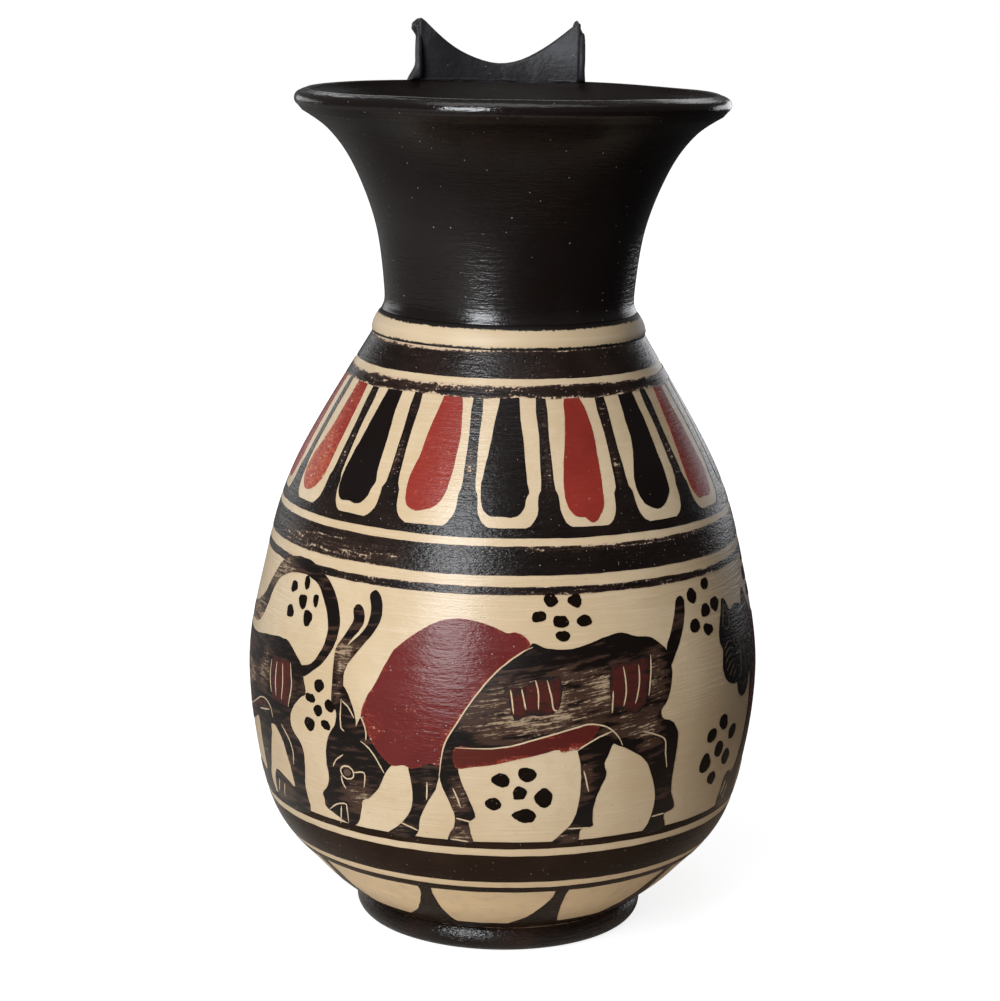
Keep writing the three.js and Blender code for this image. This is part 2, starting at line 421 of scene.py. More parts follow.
# Cuts across a flat skin along one of its directions, once in each pitch
def cut_evenly(skin, low, high, way, start=0.0):
    for index in range(math.ceil(low / PITCH), math.ceil(high / PITCH)):
        bmesh.ops.bisect_plane(
            skin, geom=skin.verts[:] + skin.edges[:] + skin.faces[:], dist=1e-4,
            plane_co=way * (index * PITCH + start), plane_no=way,
        )


# Cuts a flat skin finely enough to bend, gives it its coat and lays it on the body. A thin spot is
# (round, height, its reach round, its reach in height, how thin)
def lay_skin(name, skin, material, coat, slot="black_slip", thin_spots=(), base_thin=0.0, rim_thin=0.0):
    rounds = [vert.co.x for vert in skin.verts]
    heights = [vert.co.z for vert in skin.verts]
    cut_evenly(skin, min(rounds), max(rounds), Vector((1, 0, 0)))
    cut_evenly(skin, min(heights), max(heights), Vector((0, 0, 1)), start=CUT_START)
    thin = skin.verts.layers.float.new("thin")
    for vert in skin.verts:
        amount = base_thin + rim_thin * vert.is_boundary
        for walked, height, reach_round, reach_height, strength in thin_spots:
            away = math.hypot((vert.co.x - walked) / reach_round, (vert.co.z - height) / reach_height)
            amount += strength * (1 - ease(away, SPOT_CORE, 1))
        vert[thin] = min(amount, 1)
    for item in bmesh.ops.extrude_face_region(skin, geom=skin.faces[:])["geom"]:
        if isinstance(item, bmesh.types.BMVert):
            item.co.y = 1
    seam = [
        face for face in skin.faces
        if all(abs(abs(vert.co.x) - HALF_ROUND) < MERGE for vert in face.verts)
    ]
    bmesh.ops.delete(skin, geom=seam, context="FACES_ONLY")
    for vert in skin.verts:
        vert.co = on_body(vert.co.x, vert.co.z, COAT_ROOT if vert.co.y > 0.5 else coat)
    bmesh.ops.remove_doubles(skin, verts=skin.verts, dist=MERGE)
    bmesh.ops.recalc_face_normals(skin, faces=skin.faces)
    finish_piece(name, skin, [material])


# Shader parts

def fill_sockets(tree, node, sockets):
    for key, value in sockets.items():
        if isinstance(value, bpy.types.NodeSocket):
            tree.links.new(value, node.inputs[key])
        else:
            node.inputs[key].default_value = value


def add(tree, kind, sockets=None, **settings):
    node = tree.nodes.new(kind)
    for key, value in settings.items():
        setattr(node, key, value)
    fill_sockets(tree, node, sockets or {})
    return node


def new_group(name, inputs, output):
    tree = bpy.data.node_groups.new(name, "ShaderNodeTree")
    for title, value in inputs.items():
        socket = tree.interface.new_socket(name=title, in_out="INPUT", socket_type="NodeSocketFloat")
        socket.default_value = value
    tree.interface.new_socket(name=output, in_out="OUTPUT", socket_type="NodeSocketFloat")
    return tree, add(tree, "NodeGroupInput").outputs, add(tree, "NodeGroupOutput").inputs


def use_group(tree, group, **sockets):
    named = {key.capitalize(): value for key, value in sockets.items()}
    return add(tree, "ShaderNodeGroup", named, node_tree=group).outputs[0]


def maths(tree, operation, first, second):
    return add(tree, "ShaderNodeMath", {0: first, 1: second}, operation=operation).outputs[0]


def plus(tree, first, second):
    return maths(tree, "ADD", first, second)


def minus(tree, first, second):
    return maths(tree, "SUBTRACT", first, second)


def times(tree, first, second):
    return maths(tree, "MULTIPLY", first, second)


def step_between(tree, value, low, high):
    levels = {0: value, 1: low, 2: high, 3: 0.0, 4: 1.0}
    return add(tree, "ShaderNodeMapRange", levels, interpolation_type="SMOOTHSTEP").outputs[0]


def blended(tree, share, first, second):
    return add(tree, "ShaderNodeMix", {0: share, 6: first, 7: second}, data_type="RGBA").outputs[2]


# A colour with another laid over it where a mask is, as strongly as asked
def tinted(tree, base, mask, strength, colour):
    return blended(tree, times(tree, mask, strength), base, colour)


def object_place(tree):
    return add(tree, "ShaderNodeTexCoord").outputs["Object"]


# How far along one of the object's axes
def object_level(tree, axis):
    return add(tree, "ShaderNodeSeparateXYZ", {"Vector": object_place(tree)}).outputs[axis]


# Noise on object coordinates that are squeezed, so that it runs round the pot in lines
def stretched_noise(tree, round_scale, height_scale, detail=3.0, roughness=0.6, lean=0.0):
    place = object_place(tree)
    if lean:
        place = add(tree, "ShaderNodeMapping", {"Vector": place, "Rotation": (0, lean, 0)}).outputs[0]
    scale = (round_scale, round_scale, height_scale)
    if isinstance(round_scale, bpy.types.NodeSocket):
        scale = add(tree, "ShaderNodeCombineXYZ", dict(zip("XYZ", scale))).outputs[0]
    mapped = add(tree, "ShaderNodeMapping", {"Vector": place, "Scale": scale}).outputs[0]
    settings = {"Vector": mapped, "Scale": 1.0, "Detail": detail, "Roughness": roughness}
    return add(tree, "ShaderNodeTexNoise", settings).outputs[0]


# Fine rings left by the wheel and the brush
def make_wheel_lines():
    tree, given, made = new_group("wheel_lines", {"Round": 25.0, "Fineness": 1400.0}, "Lines")
    tree.links.new(stretched_noise(tree, given["Round"], given["Fineness"], detail=2.5), made["Lines"])
    return tree


# Where a nearly dry brush leaves the clay bare: thin 0 covers all, thin 1 leaves it mostly bare
def make_dry_brush():
    tree, given, made = new_group(
        "dry_brush", {"Thin": 0.0, "Round": 60.0, "Fineness": 900.0, "Hardness": 0.06}, "Bare",
    )
    streaks = stretched_noise(tree, given["Round"], given["Fineness"], detail=5.0)
    grain = stretched_noise(tree, 1500.0, 1700.0)
    ragged = plus(tree, times(tree, streaks, 0.58), times(tree, grain, 0.42))
    level = minus(tree, 0.74, times(tree, given["Thin"], 0.30))
    low = minus(tree, level, given["Hardness"])
    high = plus(tree, level, given["Hardness"])
    tree.links.new(step_between(tree, ragged, low, high), made["Bare"])
    return tree


# Small round marks: grit, pinholes and dust
def make_specks():
    tree, given, made = new_group("specks", {"Scale": 400.0, "Size": 0.12, "Share": 0.3}, "Marks")
    settings = {"Vector": object_place(tree), "Scale": given["Scale"]}
    cells = add(tree, "ShaderNodeTexVoronoi", settings).outputs
    chance = add(tree, "ShaderNodeSeparateColor", {"Color": cells["Color"]}).outputs
    keep = maths(tree, "LESS_THAN", chance[0], given["Share"])
    size = times(tree, given["Size"], plus(tree, chance[1], 0.3))
    inside = maths(tree, "LESS_THAN", cells["Distance"], size)
    tree.links.new(times(tree, keep, inside), made["Marks"])
    return tree


# Slow changes of tone from uneven slip and firing
def make_blotches():
    tree, given, made = new_group("blotches", {"Scale": 30.0}, "Tone")
    settings = {"Vector": object_place(tree), "Scale": given["Scale"], "Detail": 3.0, "Roughness": 0.55}
    tree.links.new(add(tree, "ShaderNodeTexNoise", settings).outputs[0], made["Tone"])
    return tree


WHEEL_LINES = make_wheel_lines()
DRY_BRUSH = make_dry_brush()
SPECKS = make_specks()
BLOTCHES = make_blotches()

# Colours of the slips, linear
CREAM = (0.585, 0.452, 0.295, 1)
CREAM_DEEP = (0.52, 0.382, 0.232, 1)
CREAM_LIGHT = (0.645, 0.516, 0.358, 1)
CREAM_WARM = (0.675, 0.480, 0.268, 1)
GRIT = (0.22, 0.14, 0.075, 1)
BLACK = (0.0062, 0.0038, 0.0030, 1)
BLACK_SOFT = (0.0105, 0.0078, 0.0074, 1)
BROWN = (0.040, 0.0185, 0.0125, 1)
BROWN_THIN = (0.046, 0.0235, 0.016, 1)
BROWN_PALE = (0.115, 0.068, 0.042, 1)
RUBBED = (0.36, 0.255, 0.160, 1)
WORN = (0.52, 0.375, 0.255, 1)
RED = (0.235, 0.026, 0.018, 1)
RED_DEEP = (0.130, 0.013, 0.010, 1)
RED_THIN = (0.42, 0.082, 0.036, 1)
MAROON = (0.125, 0.017, 0.015, 1)
MAROON_DEEP = (0.075, 0.010, 0.010, 1)
MAROON_THIN = (0.23, 0.034, 0.020, 1)
RIB_RED = (0.066, 0.0145, 0.0112, 1)
RIB_DARK = (0.030, 0.0125, 0.0095, 1)
STRIP_RED = (0.082, 0.0135, 0.0085, 1)
FAINT_CREAM = (0.085, 0.055, 0.035, 1)
BLACK_BROWN = (0.0165, 0.0088, 0.0048, 1)
DOT_BLACK = (0.0055, 0.0030, 0.0016, 1)
BAND_BROWN = (0.034, 0.0185, 0.0135, 1)
# The handle's black slip, lighter and bluish grey: black slip with a painted sheen on it
HANDLE_BLACK_AND_SHEEN = (0.0165, 0.0155, 0.018, 1)
DUST = (0.36, 0.31, 0.26, 1)
BARE_CLAY = (0.42, 0.22, 0.11, 1)
BARE_CLAY_DEEP = (0.30, 0.15, 0.075, 1)
BARE_CLAY_LINE = (0.36, 0.2, 0.11, 1)

# Heights in metres where a finish changes, each from its start to its full strength
WARM_HEEL = (0.040, 0.015)
RIM_POLISH = ((0.2282, 0.2292), (0.2316, 0.2306))
FLARE_DULLING = ((0.194, 0.214), (0.2294, 0.2284))
COLLAR_BLACK_ABOVE = (0.17165, 0.17185)
COLLAR_BLACK_BELOW = (0.16745, 0.16720)


# A belt round the pot, between two heights
def belt(tree, level, heights):
    return times(tree, step_between(tree, level, *heights[0]), step_between(tree, level, *heights[1]))


def new_material(name, specular):
    material = bpy.data.materials.new(name)
    material.use_nodes = True
    tree = material.node_tree
    shader = tree.nodes["Principled BSDF"]
    shader.inputs["Specular IOR Level"].default_value = specular
    return material, tree, shader


def finish_material(tree, shader, base, rough, height, relief):
    bump = add(tree, "ShaderNodeBump", {"Height": height, "Distance": relief, "Strength": 1.0})
    fill_sockets(tree, shader, {"Base Color": base, "Roughness": rough, "Normal": bump.outputs[0]})


# Cream slip's slow change of tone
def cream_tone(tree):
    tone = use_group(tree, BLOTCHES, scale=26.0)
    return blended(tree, step_between(tree, tone, 0.36, 0.66), CREAM_DEEP, CREAM)


# The paler lines that the wheel leaves in cream slip
def cream_lines(tree, base, lines):
    return tinted(tree, base, step_between(tree, lines, 0.5, 0.72), 0.35, CREAM_LIGHT)


# Cream slip over the clay, with the wheel's lines, fine grit and a warmer heel
def make_cream(name):
    material, tree, shader = new_material(name, 0.45)
    lines = use_group(tree, WHEEL_LINES, round=60.0, fineness=1500.0)
    fine_tone = use_group(tree, BLOTCHES, scale=260.0)
    grit = use_group(tree, SPECKS, scale=620.0, size=0.10, share=0.10)
    heel = step_between(tree, object_level(tree, "Z"), *WARM_HEEL)
    base = blended(tree, heel, cream_tone(tree), CREAM_WARM)
    base = cream_lines(tree, base, lines)
    base = tinted(tree, base, step_between(tree, fine_tone, 0.45, 0.7), 0.5, CREAM_DEEP)
    base = tinted(tree, base, grit, 0.55, GRIT)
    rough = plus(tree, 0.22, times(tree, lines, 0.2))
    strokes = stretched_noise(tree, 800.0, 2100.0, detail=2.0)
    height = plus(tree, lines, times(tree, strokes, 0.6))
    finish_material(tree, shader, base, rough, height, 0.00013)
    return material


# Slip brushed over the cream. It thins to brown, and then to bare streaks where the brush ran dry
def make_slip(name, full, shade, thinned, bare, specular, smooth, dust=0.35, wear=0.0, round_scale=95.0,
              fineness=1500.0, relief=0.00010, hand_marks=0.0, dust_share=0.12, dust_scale=560.0,
              line_fineness=1500.0, line_sheen=0.12, polish=0.0, dulling=0.0, sparkle=0.6):
    material, tree, shader = new_material(name, specular)
    thin = plus(tree, add(tree, "ShaderNodeAttribute", attribute_name="thin").outputs["Fac"], wear)
    lines = use_group(tree, WHEEL_LINES, round=120.0, fineness=line_fineness)
    tone = use_group(tree, BLOTCHES, scale=45.0)
    streaks = {"round": round_scale, "fineness": fineness}
    half_bare = use_group(tree, DRY_BRUSH, thin=times(tree, thin, 1.9), hardness=0.09, **streaks)
    fully_bare = use_group(tree, DRY_BRUSH, thin=thin, hardness=0.035, **streaks)
    marks = use_group(tree, SPECKS, scale=dust_scale, size=0.13, share=dust_share)
    base = tinted(tree, full, step_between(tree, tone, 0.4, 0.75), 0.5, shade)
    base = tinted(tree, base, half_bare, 0.85, thinned)
    base = blended(tree, fully_bare, base, bare)
    base = tinted(tree, base, marks, dust, DUST)
    rough = plus(tree, smooth, times(tree, lines, line_sheen))
    rough = plus(tree, rough, times(tree, fully_bare, 0.2))
    if polish:
        level = object_level(tree, "Z")
        rough = minus(tree, rough, times(tree, belt(tree, level, RIM_POLISH), polish))
        shine = minus(tree, specular, times(tree, belt(tree, level, FLARE_DULLING), dulling))
        tree.links.new(shine, shader.inputs["Specular IOR Level"])
    strokes = stretched_noise(tree, 800.0, 2100.0, detail=2.0)
    height = plus(tree, lines, times(tree, marks, 0.8))
    height = plus(tree, height, times(tree, strokes, sparkle))
    if hand_marks:
        pinches = use_group(tree, BLOTCHES, scale=150.0)
        height = plus(tree, height, times(tree, pinches, hand_marks))
    height = minus(tree, height, times(tree, fully_bare, 0.5))
    finish_material(tree, shader, base, rough, height, relief)
    return material


# Slip scrubbed on with a stiff brush: black and brown strokes that rise to the right, and thin bare streaks
def make_scrubbed(name, lean=0.16):
    material, tree, shader = new_material(name, 0.18)
    thin = add(tree, "ShaderNodeAttribute", attribute_name="thin").outputs["Fac"]
    broad = stretched_noise(tree, 100.0, 620.0, detail=4.0, lean=lean)
    narrow = stretched_noise(tree, 150.0, 2000.0, detail=6.0, roughness=0.74, lean=lean)
    chipped = stretched_noise(tree, 900.0, 1700.0, lean=lean)
    covered = minus(tree, 0.70, times(tree, thin, 0.36))
    base = blended(tree, step_between(tree, minus(tree, broad, covered), -0.08, 0.05), BLACK, BROWN_THIN)
    streaks = plus(tree, times(tree, narrow, 0.6), times(tree, broad, 0.2))
    streaks = plus(tree, streaks, times(tree, chipped, 0.2))
    over = minus(tree, streaks, minus(tree, 0.74, times(tree, thin, 0.275)))
    base = tinted(tree, base, step_between(tree, over, -0.04, 0.01), 0.45, BROWN_PALE)
    bare = step_between(tree, over, 0.0, 0.04)
    base = tinted(tree, base, bare, 0.9, RUBBED)
    rough = plus(tree, 0.22, times(tree, narrow, 0.16))
    height = minus(tree, narrow, times(tree, bare, 0.5))
    finish_material(tree, shader, base, rough, height, 0.0001)
    return material


# The collar is cream in its middle, with ragged black above and below it
def make_collar(name):
    material, tree, shader = new_material(name, 0.4)
    lines = use_group(tree, WHEEL_LINES, round=18.0, fineness=1300.0)
    ragged = stretched_noise(tree, 130.0, 900.0, detail=4.0)
    flecks = stretched_noise(tree, 1500.0, 1300.0)
    drift = times(tree, minus(tree, ragged, 0.5), 0.0008)
    drift = plus(tree, drift, times(tree, minus(tree, flecks, 0.5), 0.0014))
    edge = plus(tree, object_level(tree, "Z"), drift)
    above = step_between(tree, edge, *COLLAR_BLACK_ABOVE)
    below = step_between(tree, edge, *COLLAR_BLACK_BELOW)
    dark = maths(tree, "MAXIMUM", above, below)
    base = blended(tree, dark, cream_lines(tree, cream_tone(tree), lines), BLACK)
    rough = plus(tree, 0.36, times(tree, lines, 0.2))
    finish_material(tree, shader, base, rough, lines, 0.00009)
    return material


def make_bare_clay(name):
    material, tree, shader = new_material(name, 0.3)
    lines = use_group(tree, WHEEL_LINES, round=12.0, fineness=420.0)
    base = blended(tree, use_group(tree, BLOTCHES, scale=60.0), BARE_CLAY, BARE_CLAY_DEEP)
    base = blended(tree, step_between(tree, lines, 0.4, 0.7), base, BARE_CLAY_LINE)
    finish_material(tree, shader, base, 0.85, lines, 0.0004)
    return material


cream_slip = make_cream("cream_slip")
collar_slip = make_collar("collar_slip")
bare_clay = make_bare_clay("bare_clay")
band_slip = make_slip(
    "black_band_slip", BLACK, BAND_BROWN, BAND_BROWN, WORN, specular=0.3, smooth=0.11, dust=0.7, wear=0.08,
    round_scale=160.0, relief=0.00021, dust_share=0.45, dust_scale=1000.0, line_fineness=1000.0,
    line_sheen=0.26, sparkle=0.9,
)
worn_slip = make_slip(
    "worn_black_slip", BLACK, BAND_BROWN, BAND_BROWN, WORN, specular=0.2, smooth=0.22, dust=0.7, wear=0.12,
    round_scale=300.0, fineness=900.0, relief=0.00018, dust_share=0.5, dust_scale=1000.0,
)
figure_slip = make_slip(
    "black_figure_slip", BLACK, BLACK_SOFT, BROWN, RUBBED, specular=0.2, smooth=0.18, dust=0.5, wear=0.06,
    dust_share=0.16, dust_scale=700.0, relief=0.00014,
)
dot_slip = make_slip(
    "black_dot_slip", DOT_BLACK, BLACK_SOFT, BROWN, RUBBED, specular=0.05, smooth=0.25, dust=0.5, wear=0.17,
    round_scale=420.0, fineness=700.0, dust_share=0.3, dust_scale=900.0,
)
burnished_slip = make_slip(
    "burnished_black_slip", BLACK, BLACK_SOFT, BLACK_SOFT, BROWN, specular=0.46, smooth=0.1, dust=0.55,
    relief=0.00013, dust_share=0.14, dust_scale=700.0, line_fineness=1200.0, line_sheen=0.2, polish=0.12,
    dulling=0.26,
)
brown_slip = make_slip(
    "brown_black_slip", BLACK_BROWN, BAND_BROWN, BROWN, WORN, specular=0.05, smooth=0.2, dust=0.6, wear=0.1,
    round_scale=110.0, fineness=1300.0, dust_share=0.25, dust_scale=900.0,
)
mouth_slip = make_slip(
    "mouth_black_slip", BLACK, BLACK_SOFT, BLACK_SOFT, BROWN, specular=0.14, smooth=0.42, dust=0.3,
    dust_share=0.1, dust_scale=700.0,
)
foot_slip = make_slip(
    "foot_black_slip", BLACK, BROWN, BROWN, WORN, specular=0.32, smooth=0.12, dust=0.5, wear=0.05,
    relief=0.00026, round_scale=300.0, fineness=700.0, dust_share=0.3, dust_scale=900.0, sparkle=1.0,
)
# The handle's slip: black with a painted sheen in its colour, dark smears and pinch marks
pinched_slip_and_sheen = make_slip(
    "pinched_black_slip_and_sheen", HANDLE_BLACK_AND_SHEEN, BLACK, BLACK_SOFT, BROWN, specular=0.24, smooth=0.4, dust=0.6,
    relief=0.00005, hand_marks=11.0, dust_share=0.14, dust_scale=800.0,
)
scrubbed_slip = make_scrubbed("scrubbed_black_slip")
red_slip = make_slip(
    "red_slip", RED, RED_DEEP, RED_THIN, WORN, specular=0.2, smooth=0.14, dust=0.5, wear=0.12,
    round_scale=500.0, fineness=1300.0, relief=0.00015, dust_share=0.2, dust_scale=700.0, line_sheen=0.25,
)
maroon_slip = make_slip(
    "maroon_slip", MAROON, MAROON_DEEP, MAROON_THIN, WORN, specular=0.22, smooth=0.05, dust=0.6, wear=0.08,
    round_scale=420.0, fineness=1300.0, relief=0.0002, dust_share=0.26, dust_scale=700.0,
    line_fineness=800.0, line_sheen=0.34, sparkle=0.5,
)
strip_slip = make_slip(
    "strip_red_slip", STRIP_RED, MAROON_DEEP, MAROON_THIN, WORN, specular=0.2, smooth=0.24, dust=0.3,
    wear=0.05, round_scale=160.0, fineness=1100.0,
)
rib_slip = make_slip(
    "rib_maroon_slip", RIB_RED, MAROON_DEEP, RIB_DARK, BLACK_SOFT, specular=0.18, smooth=0.24, dust=0.3,
    wear=0.05, round_scale=150.0, fineness=1300.0,
)
scratch_slip = make_cream("scratched_cream")
rubbed_clay = make_slip("rubbed_clay", FAINT_CREAM, BROWN_PALE, BROWN_PALE, WORN, specular=0.2, smooth=0.3)


# Foot: a turned disc with a rounded edge and a small step up to the heel
def make_foot(steps=10):
    edge = []
    for step in range(steps + 1):
        angle = math.pi / 2 * step / steps
        reach = FOOT_BASE + (FOOT_EDGE - FOOT_BASE) * math.sin(angle)
        edge.append((reach, FOOT_EDGE_HEIGHT * (1 - math.cos(angle))))
    bm = turned([(0, 0), (FOOT_BASE - FOOT_RING, 0), *edge, *FOOT_STEP])
    waver(bm, FOOT_WAVER)
    finish_piece("foot_disc", bm, [foot_slip], replaced="foot")


# Gives the faces that look towards the pot's axis the second material
def line_inside(bm):
    bm.normal_update()
    for face in bm.faces:
        centre = face.calc_center_median()
        if face.normal.x * centre.x + face.normal.y * centre.y < 0:
            face.material_index = 1


def make_body():
    inside = [
        point for point in moved_outline(BODY_OUTLINE, SLIP_ROOM - WALL)
        if point.y > FLOOR_TOP and point.x > THROAT_RADIUS
    ]
    bm = turned([
        (0, HEEL_HEIGHT), *BODY_OUTLINE, (THROAT_RADIUS, BODY_TOP), *reversed(inside[::3]),
        (inside[0].x - WALL, FLOOR_TOP), (0, FLOOR_TOP),
    ])
    line_inside(bm)
    for face in bm.faces:
        if abs(face.calc_center_median().z - FLOOR_TOP) < MERGE:
            face.material_index = 1
    finish_piece("body_clay", bm, [cream_slip, bare_clay], "body")


def make_collar_ring():
    bm = turned(COLLAR_OUTLINE, closed=True)
    finish_piece("collar_band", bm, [collar_slip], "collar_ring", crease=50)


def make_neck():
    inside = [point for point in moved_outline(NECK_OUTLINE, -WALL) if point.y < LIP_TOP - LIP_DEPTH]
    slope = curve([*MOUTH_SLOPE, inside[-1]], 5)
    bm = turned([
        (THROAT_RADIUS, NECK_FOOT), (COLLAR_INNER_RADIUS, NECK_FOOT), (COLLAR_INNER_RADIUS, NECK_STEP),
        *NECK_OUTLINE[:-3],
        *arc((LIP_RADIUS - LIP_ROUND, LIP_EDGE_HEIGHT), LIP_ROUND, -55, 52, 9),
        LIP_DIP,
        *arc((CREST_RADIUS, LIP_TOP - CREST_ROUND), CREST_ROUND, 52, 150, 9),
        *slope[:-1], *reversed(inside),
    ], closed=True)
    for vert in bm.verts:
        front = -vert.co.y / LIP_RADIUS
        edge = wave(vert.co.x * 0.035, vert.co.y * 0.035, 4.2)
        lift = MOUTH_TILT * max(front, 0) + BACK_LIFT * max(-front, 0) + RIM_WAVER * edge
        vert.co.z += ease(vert.co.z, LIP_TOP - FLARE_HEIGHT, LIP_TOP) * lift
    line_inside(bm)
    finish_piece("neck_clay", bm, [burnished_slip, mouth_slip], replaced="neck", crease=60)


# Handle: a strap pulled from the shoulder to the lip, whose outer side lifts into two wings at the top
def strap_line():
    root_radius = body_surface(ROOT_HEIGHT)[0] + SLIP_ROOM
    lip_back = LIP_RADIUS + SEAM + STRAP_THICKNESS / 2
    middle = SADDLE_TOP - SADDLE_THICKNESS / 2

    def bowed(share):
        reach = mix(root_radius, lip_back, share) + STRAP_BOW * math.sin(math.pi * share)
        return reach, mix(ROOT_HEIGHT, LIP_EDGE_HEIGHT, share)

    return [
        (root_radius - ROOT_DEPTH, ROOT_HEIGHT - ROOT_DEPTH), (root_radius, ROOT_HEIGHT),
        bowed(1 / 5), bowed(1 / 2), bowed(3 / 4), (lip_back, LIP_EDGE_HEIGHT - STRAP_NAPE),
        (LIP_RADIUS + STRAP_TURN, middle - STRAP_TURN_DEPTH),
        (CREST_RADIUS + SADDLE_DIP_REACH, middle - SADDLE_DIP), (CREST_RADIUS, middle),
    ]


# A closed skin through rings that all have the same number of points
def lofted(rings):
    bm = bmesh.new()
    ring = bmesh.ops.create_circle(bm, segments=len(rings[0]), radius=1)["verts"]
    order = sorted(ring, key=lambda vert: math.atan2(vert.co.y, vert.co.x))
    rim = list({edge for vert in order for edge in vert.link_edges})
    first_rim = rim
    for index, places in enumerate(rings):
        if index:
            grown = bmesh.ops.extrude_edge_only(bm, edges=rim)["geom"]
            fresh = {item for item in grown if isinstance(item, bmesh.types.BMVert)}
            edges = [item for item in grown if isinstance(item, bmesh.types.BMEdge)]
            rim = [edge for edge in edges if set(edge.verts) <= fresh]
            order = [
                next(edge.other_vert(vert) for edge in vert.link_edges if edge.other_vert(vert) in fresh)
                for vert in order
            ]
        for vert, place in zip(order, places):
            vert.co = place
    bmesh.ops.holes_fill(bm, edges=first_rim + rim)
    bmesh.ops.recalc_face_normals(bm, faces=bm.faces)
    return bm


# One section of the strap. The trim rounds off the edge of the saddle's front, which follows the crest
def strap_section(centre, along, trim):
    outward = Vector((along.y, -along.x))
    near_lip = ease(centre.y, LIP_EDGE_HEIGHT - 4 * STRAP_THICKNESS, SADDLE_TOP - SADDLE_THICKNESS)
    near_root = 1 - ease(centre.y, ROOT_HEIGHT - ROOT_DEPTH, ROOT_HEIGHT + 4 * STRAP_THICKNESS)
    width = STRAP_WIDTH + (SADDLE_WIDTH - STRAP_WIDTH) * near_lip + (ROOT_WIDTH - STRAP_WIDTH) * near_root
    thickness = mix(STRAP_THICKNESS, SADDLE_THICKNESS, near_lip)
    rise = WING_RISE * max(outward.y, 0) * near_lip
    squareness = mix(STRAP_SQUARENESS, SADDLE_SQUARENESS, near_lip)
    front = 1 - ease(centre.x, CREST_RADIUS, LIP_RADIUS + STRAP_THICKNESS / 2)
    front *= centre.y > LIP_EDGE_HEIGHT - FRONT_DEPTH
    ring = []
    for step in range(STRAP_RING):
        angle = FULL_TURN * step / STRAP_RING - math.pi
        across = math.cos(angle)
        full = (1 - min(abs(across), 1) ** squareness) ** (1 / squareness)
        through = math.copysign(full, math.sin(angle))
        lift = rise * abs(across) ** WING_SWEEP * (through + 1) / 2 * (1 - RIGHT_WING_DROP * (across > 0))
        dent = STRAP_DENT * wave(across * 2.1, through, centre.y * 0.09)
        place = centre + outward * (through * (thickness / 2 - trim) + lift + dent)
        reach = across * (width / 2 - trim)
        sweep = CREST_RADIUS - math.sqrt(CREST_RADIUS ** 2 - reach ** 2)
        ring.append((reach, place.x - front * sweep, place.y))
    return ring


def make_strap(edge_steps=4):
    line = evenly(curve(strap_line(), 24), STRAP_STATIONS)
    rings = []
    for index, centre in enumerate(line):
        along = run_at(line, index).normalized()
        rings.append(strap_section(centre, along, 0))
    for step in range(1, edge_steps + 1):
        turn = math.pi / 2 * step / edge_steps
        tip = line[-1] + along * SADDLE_EDGE * math.sin(turn)
        rings.append(strap_section(tip, along, SADDLE_EDGE * (1 - math.cos(turn))))
    finish_piece("handle_pulled", lofted(rings), [pinched_slip_and_sheen], replaced="handle_strap", crease=50)


# A thin lumpy roll of slip that seals the saddle's foot to the lip
def make_luting(steps=120, sides=12):
    rings = []
    for index in range(steps + 1):
        across = mix(-LUTING_REACH, LUTING_REACH, index / steps)
        lump = wave(across * 0.22, 3.1, 0)
        fine = wave(across * 0.5, 8.2, 0)
        swell = max(LUTING_SWELL + LUTING_LUMP * lump + 0.12 * fine, LUTING_LEAST)
        if index in (0, steps):
            swell *= LUTING_END
        reach = CREST_RADIUS - LUTING_INSET + 0.3 * lump
        rise = 0.35 * wave(across * 0.3, 1.2, 4)
        middle = Vector((across, math.sqrt(reach ** 2 - across ** 2), LIP_TOP + BACK_LIFT + rise))
        angles = [FULL_TURN * side / sides for side in range(sides)]
        rings.append([middle + Vector((0, math.cos(angle), math.sin(angle))) * swell for angle in angles])
    finish_piece("handle_luting", lofted(rings), [pinched_slip_and_sheen])


# Rotelles: small discs on edge beside the saddle, pinched by hand, their lower ends spread over the lip
def make_rotelle(name, side, node):
    half = ROTELLE_THICKNESS / 2
    flat = ROTELLE_RADIUS - ROTELLE_ROUND
    bm = turned([
        (0, -half), *arc((flat, ROTELLE_ROUND - half), ROTELLE_ROUND, -90, 0, 5),
        *arc((flat, half - ROTELLE_ROUND), ROTELLE_ROUND, 0, 90, 5), (0, half),
    ], steps=ROTELLE_STEPS)
    bmesh.ops.subdivide_edges(bm, edges=[edge for edge in bm.edges if edge.calc_length() > 6], cuts=5)
    bmesh.ops.rotate(bm, cent=(0, 0, 0), matrix=Matrix.Rotation(math.pi / 2, 3, "Y"), verts=bm.verts)
    for vert in bm.verts:
        dent = wave(vert.co.y * 0.16, vert.co.z * 0.16, side * 7)
        vert.co.x += ROTELLE_DENT * dent
    centre = (side * ROTELLE_CENTRE[0], ROTELLE_CENTRE[1], ROTELLE_CENTRE[2])
    bmesh.ops.translate(bm, vec=centre, verts=bm.verts)
    for vert in bm.verts:
        outside = ease(side * vert.co.x - ROTELLE_CENTRE[0], *OUTER_FACE)
        low = 1 - ease(vert.co.z, *SPREAD_HEIGHTS)
        away = math.hypot(vert.co.y - ROTELLE_CENTRE[1], vert.co.z - KNOB_HEIGHT)
        knob = 1 - ease(away, *KNOB_REACH)
        top = ease(vert.co.z, KNOB_HEIGHT - TOP_REACH, KNOB_HEIGHT + TOP_REACH)
        hollow = (1 - low) * (1 - knob) * (1 - top)
        push = low * LUTING_FLARE[side] + knob * KNOB_SWELL[side] - hollow * HOLLOW[side]
        vert.co.x += side * outside * push
        vert.co.z -= outside * top * TOP_SLANT[side]
        inwards = CREST_RADIUS - math.hypot(vert.co.x, vert.co.y)
        if inwards > -RIM_MARGIN:
            vert.co.z = max(vert.co.z, LIP_TOP + BACK_LIFT - 0.2 + 0.22 * inwards)
    finish_piece(name, bm, [pinched_slip_and_sheen], replaced=node, crease=50)


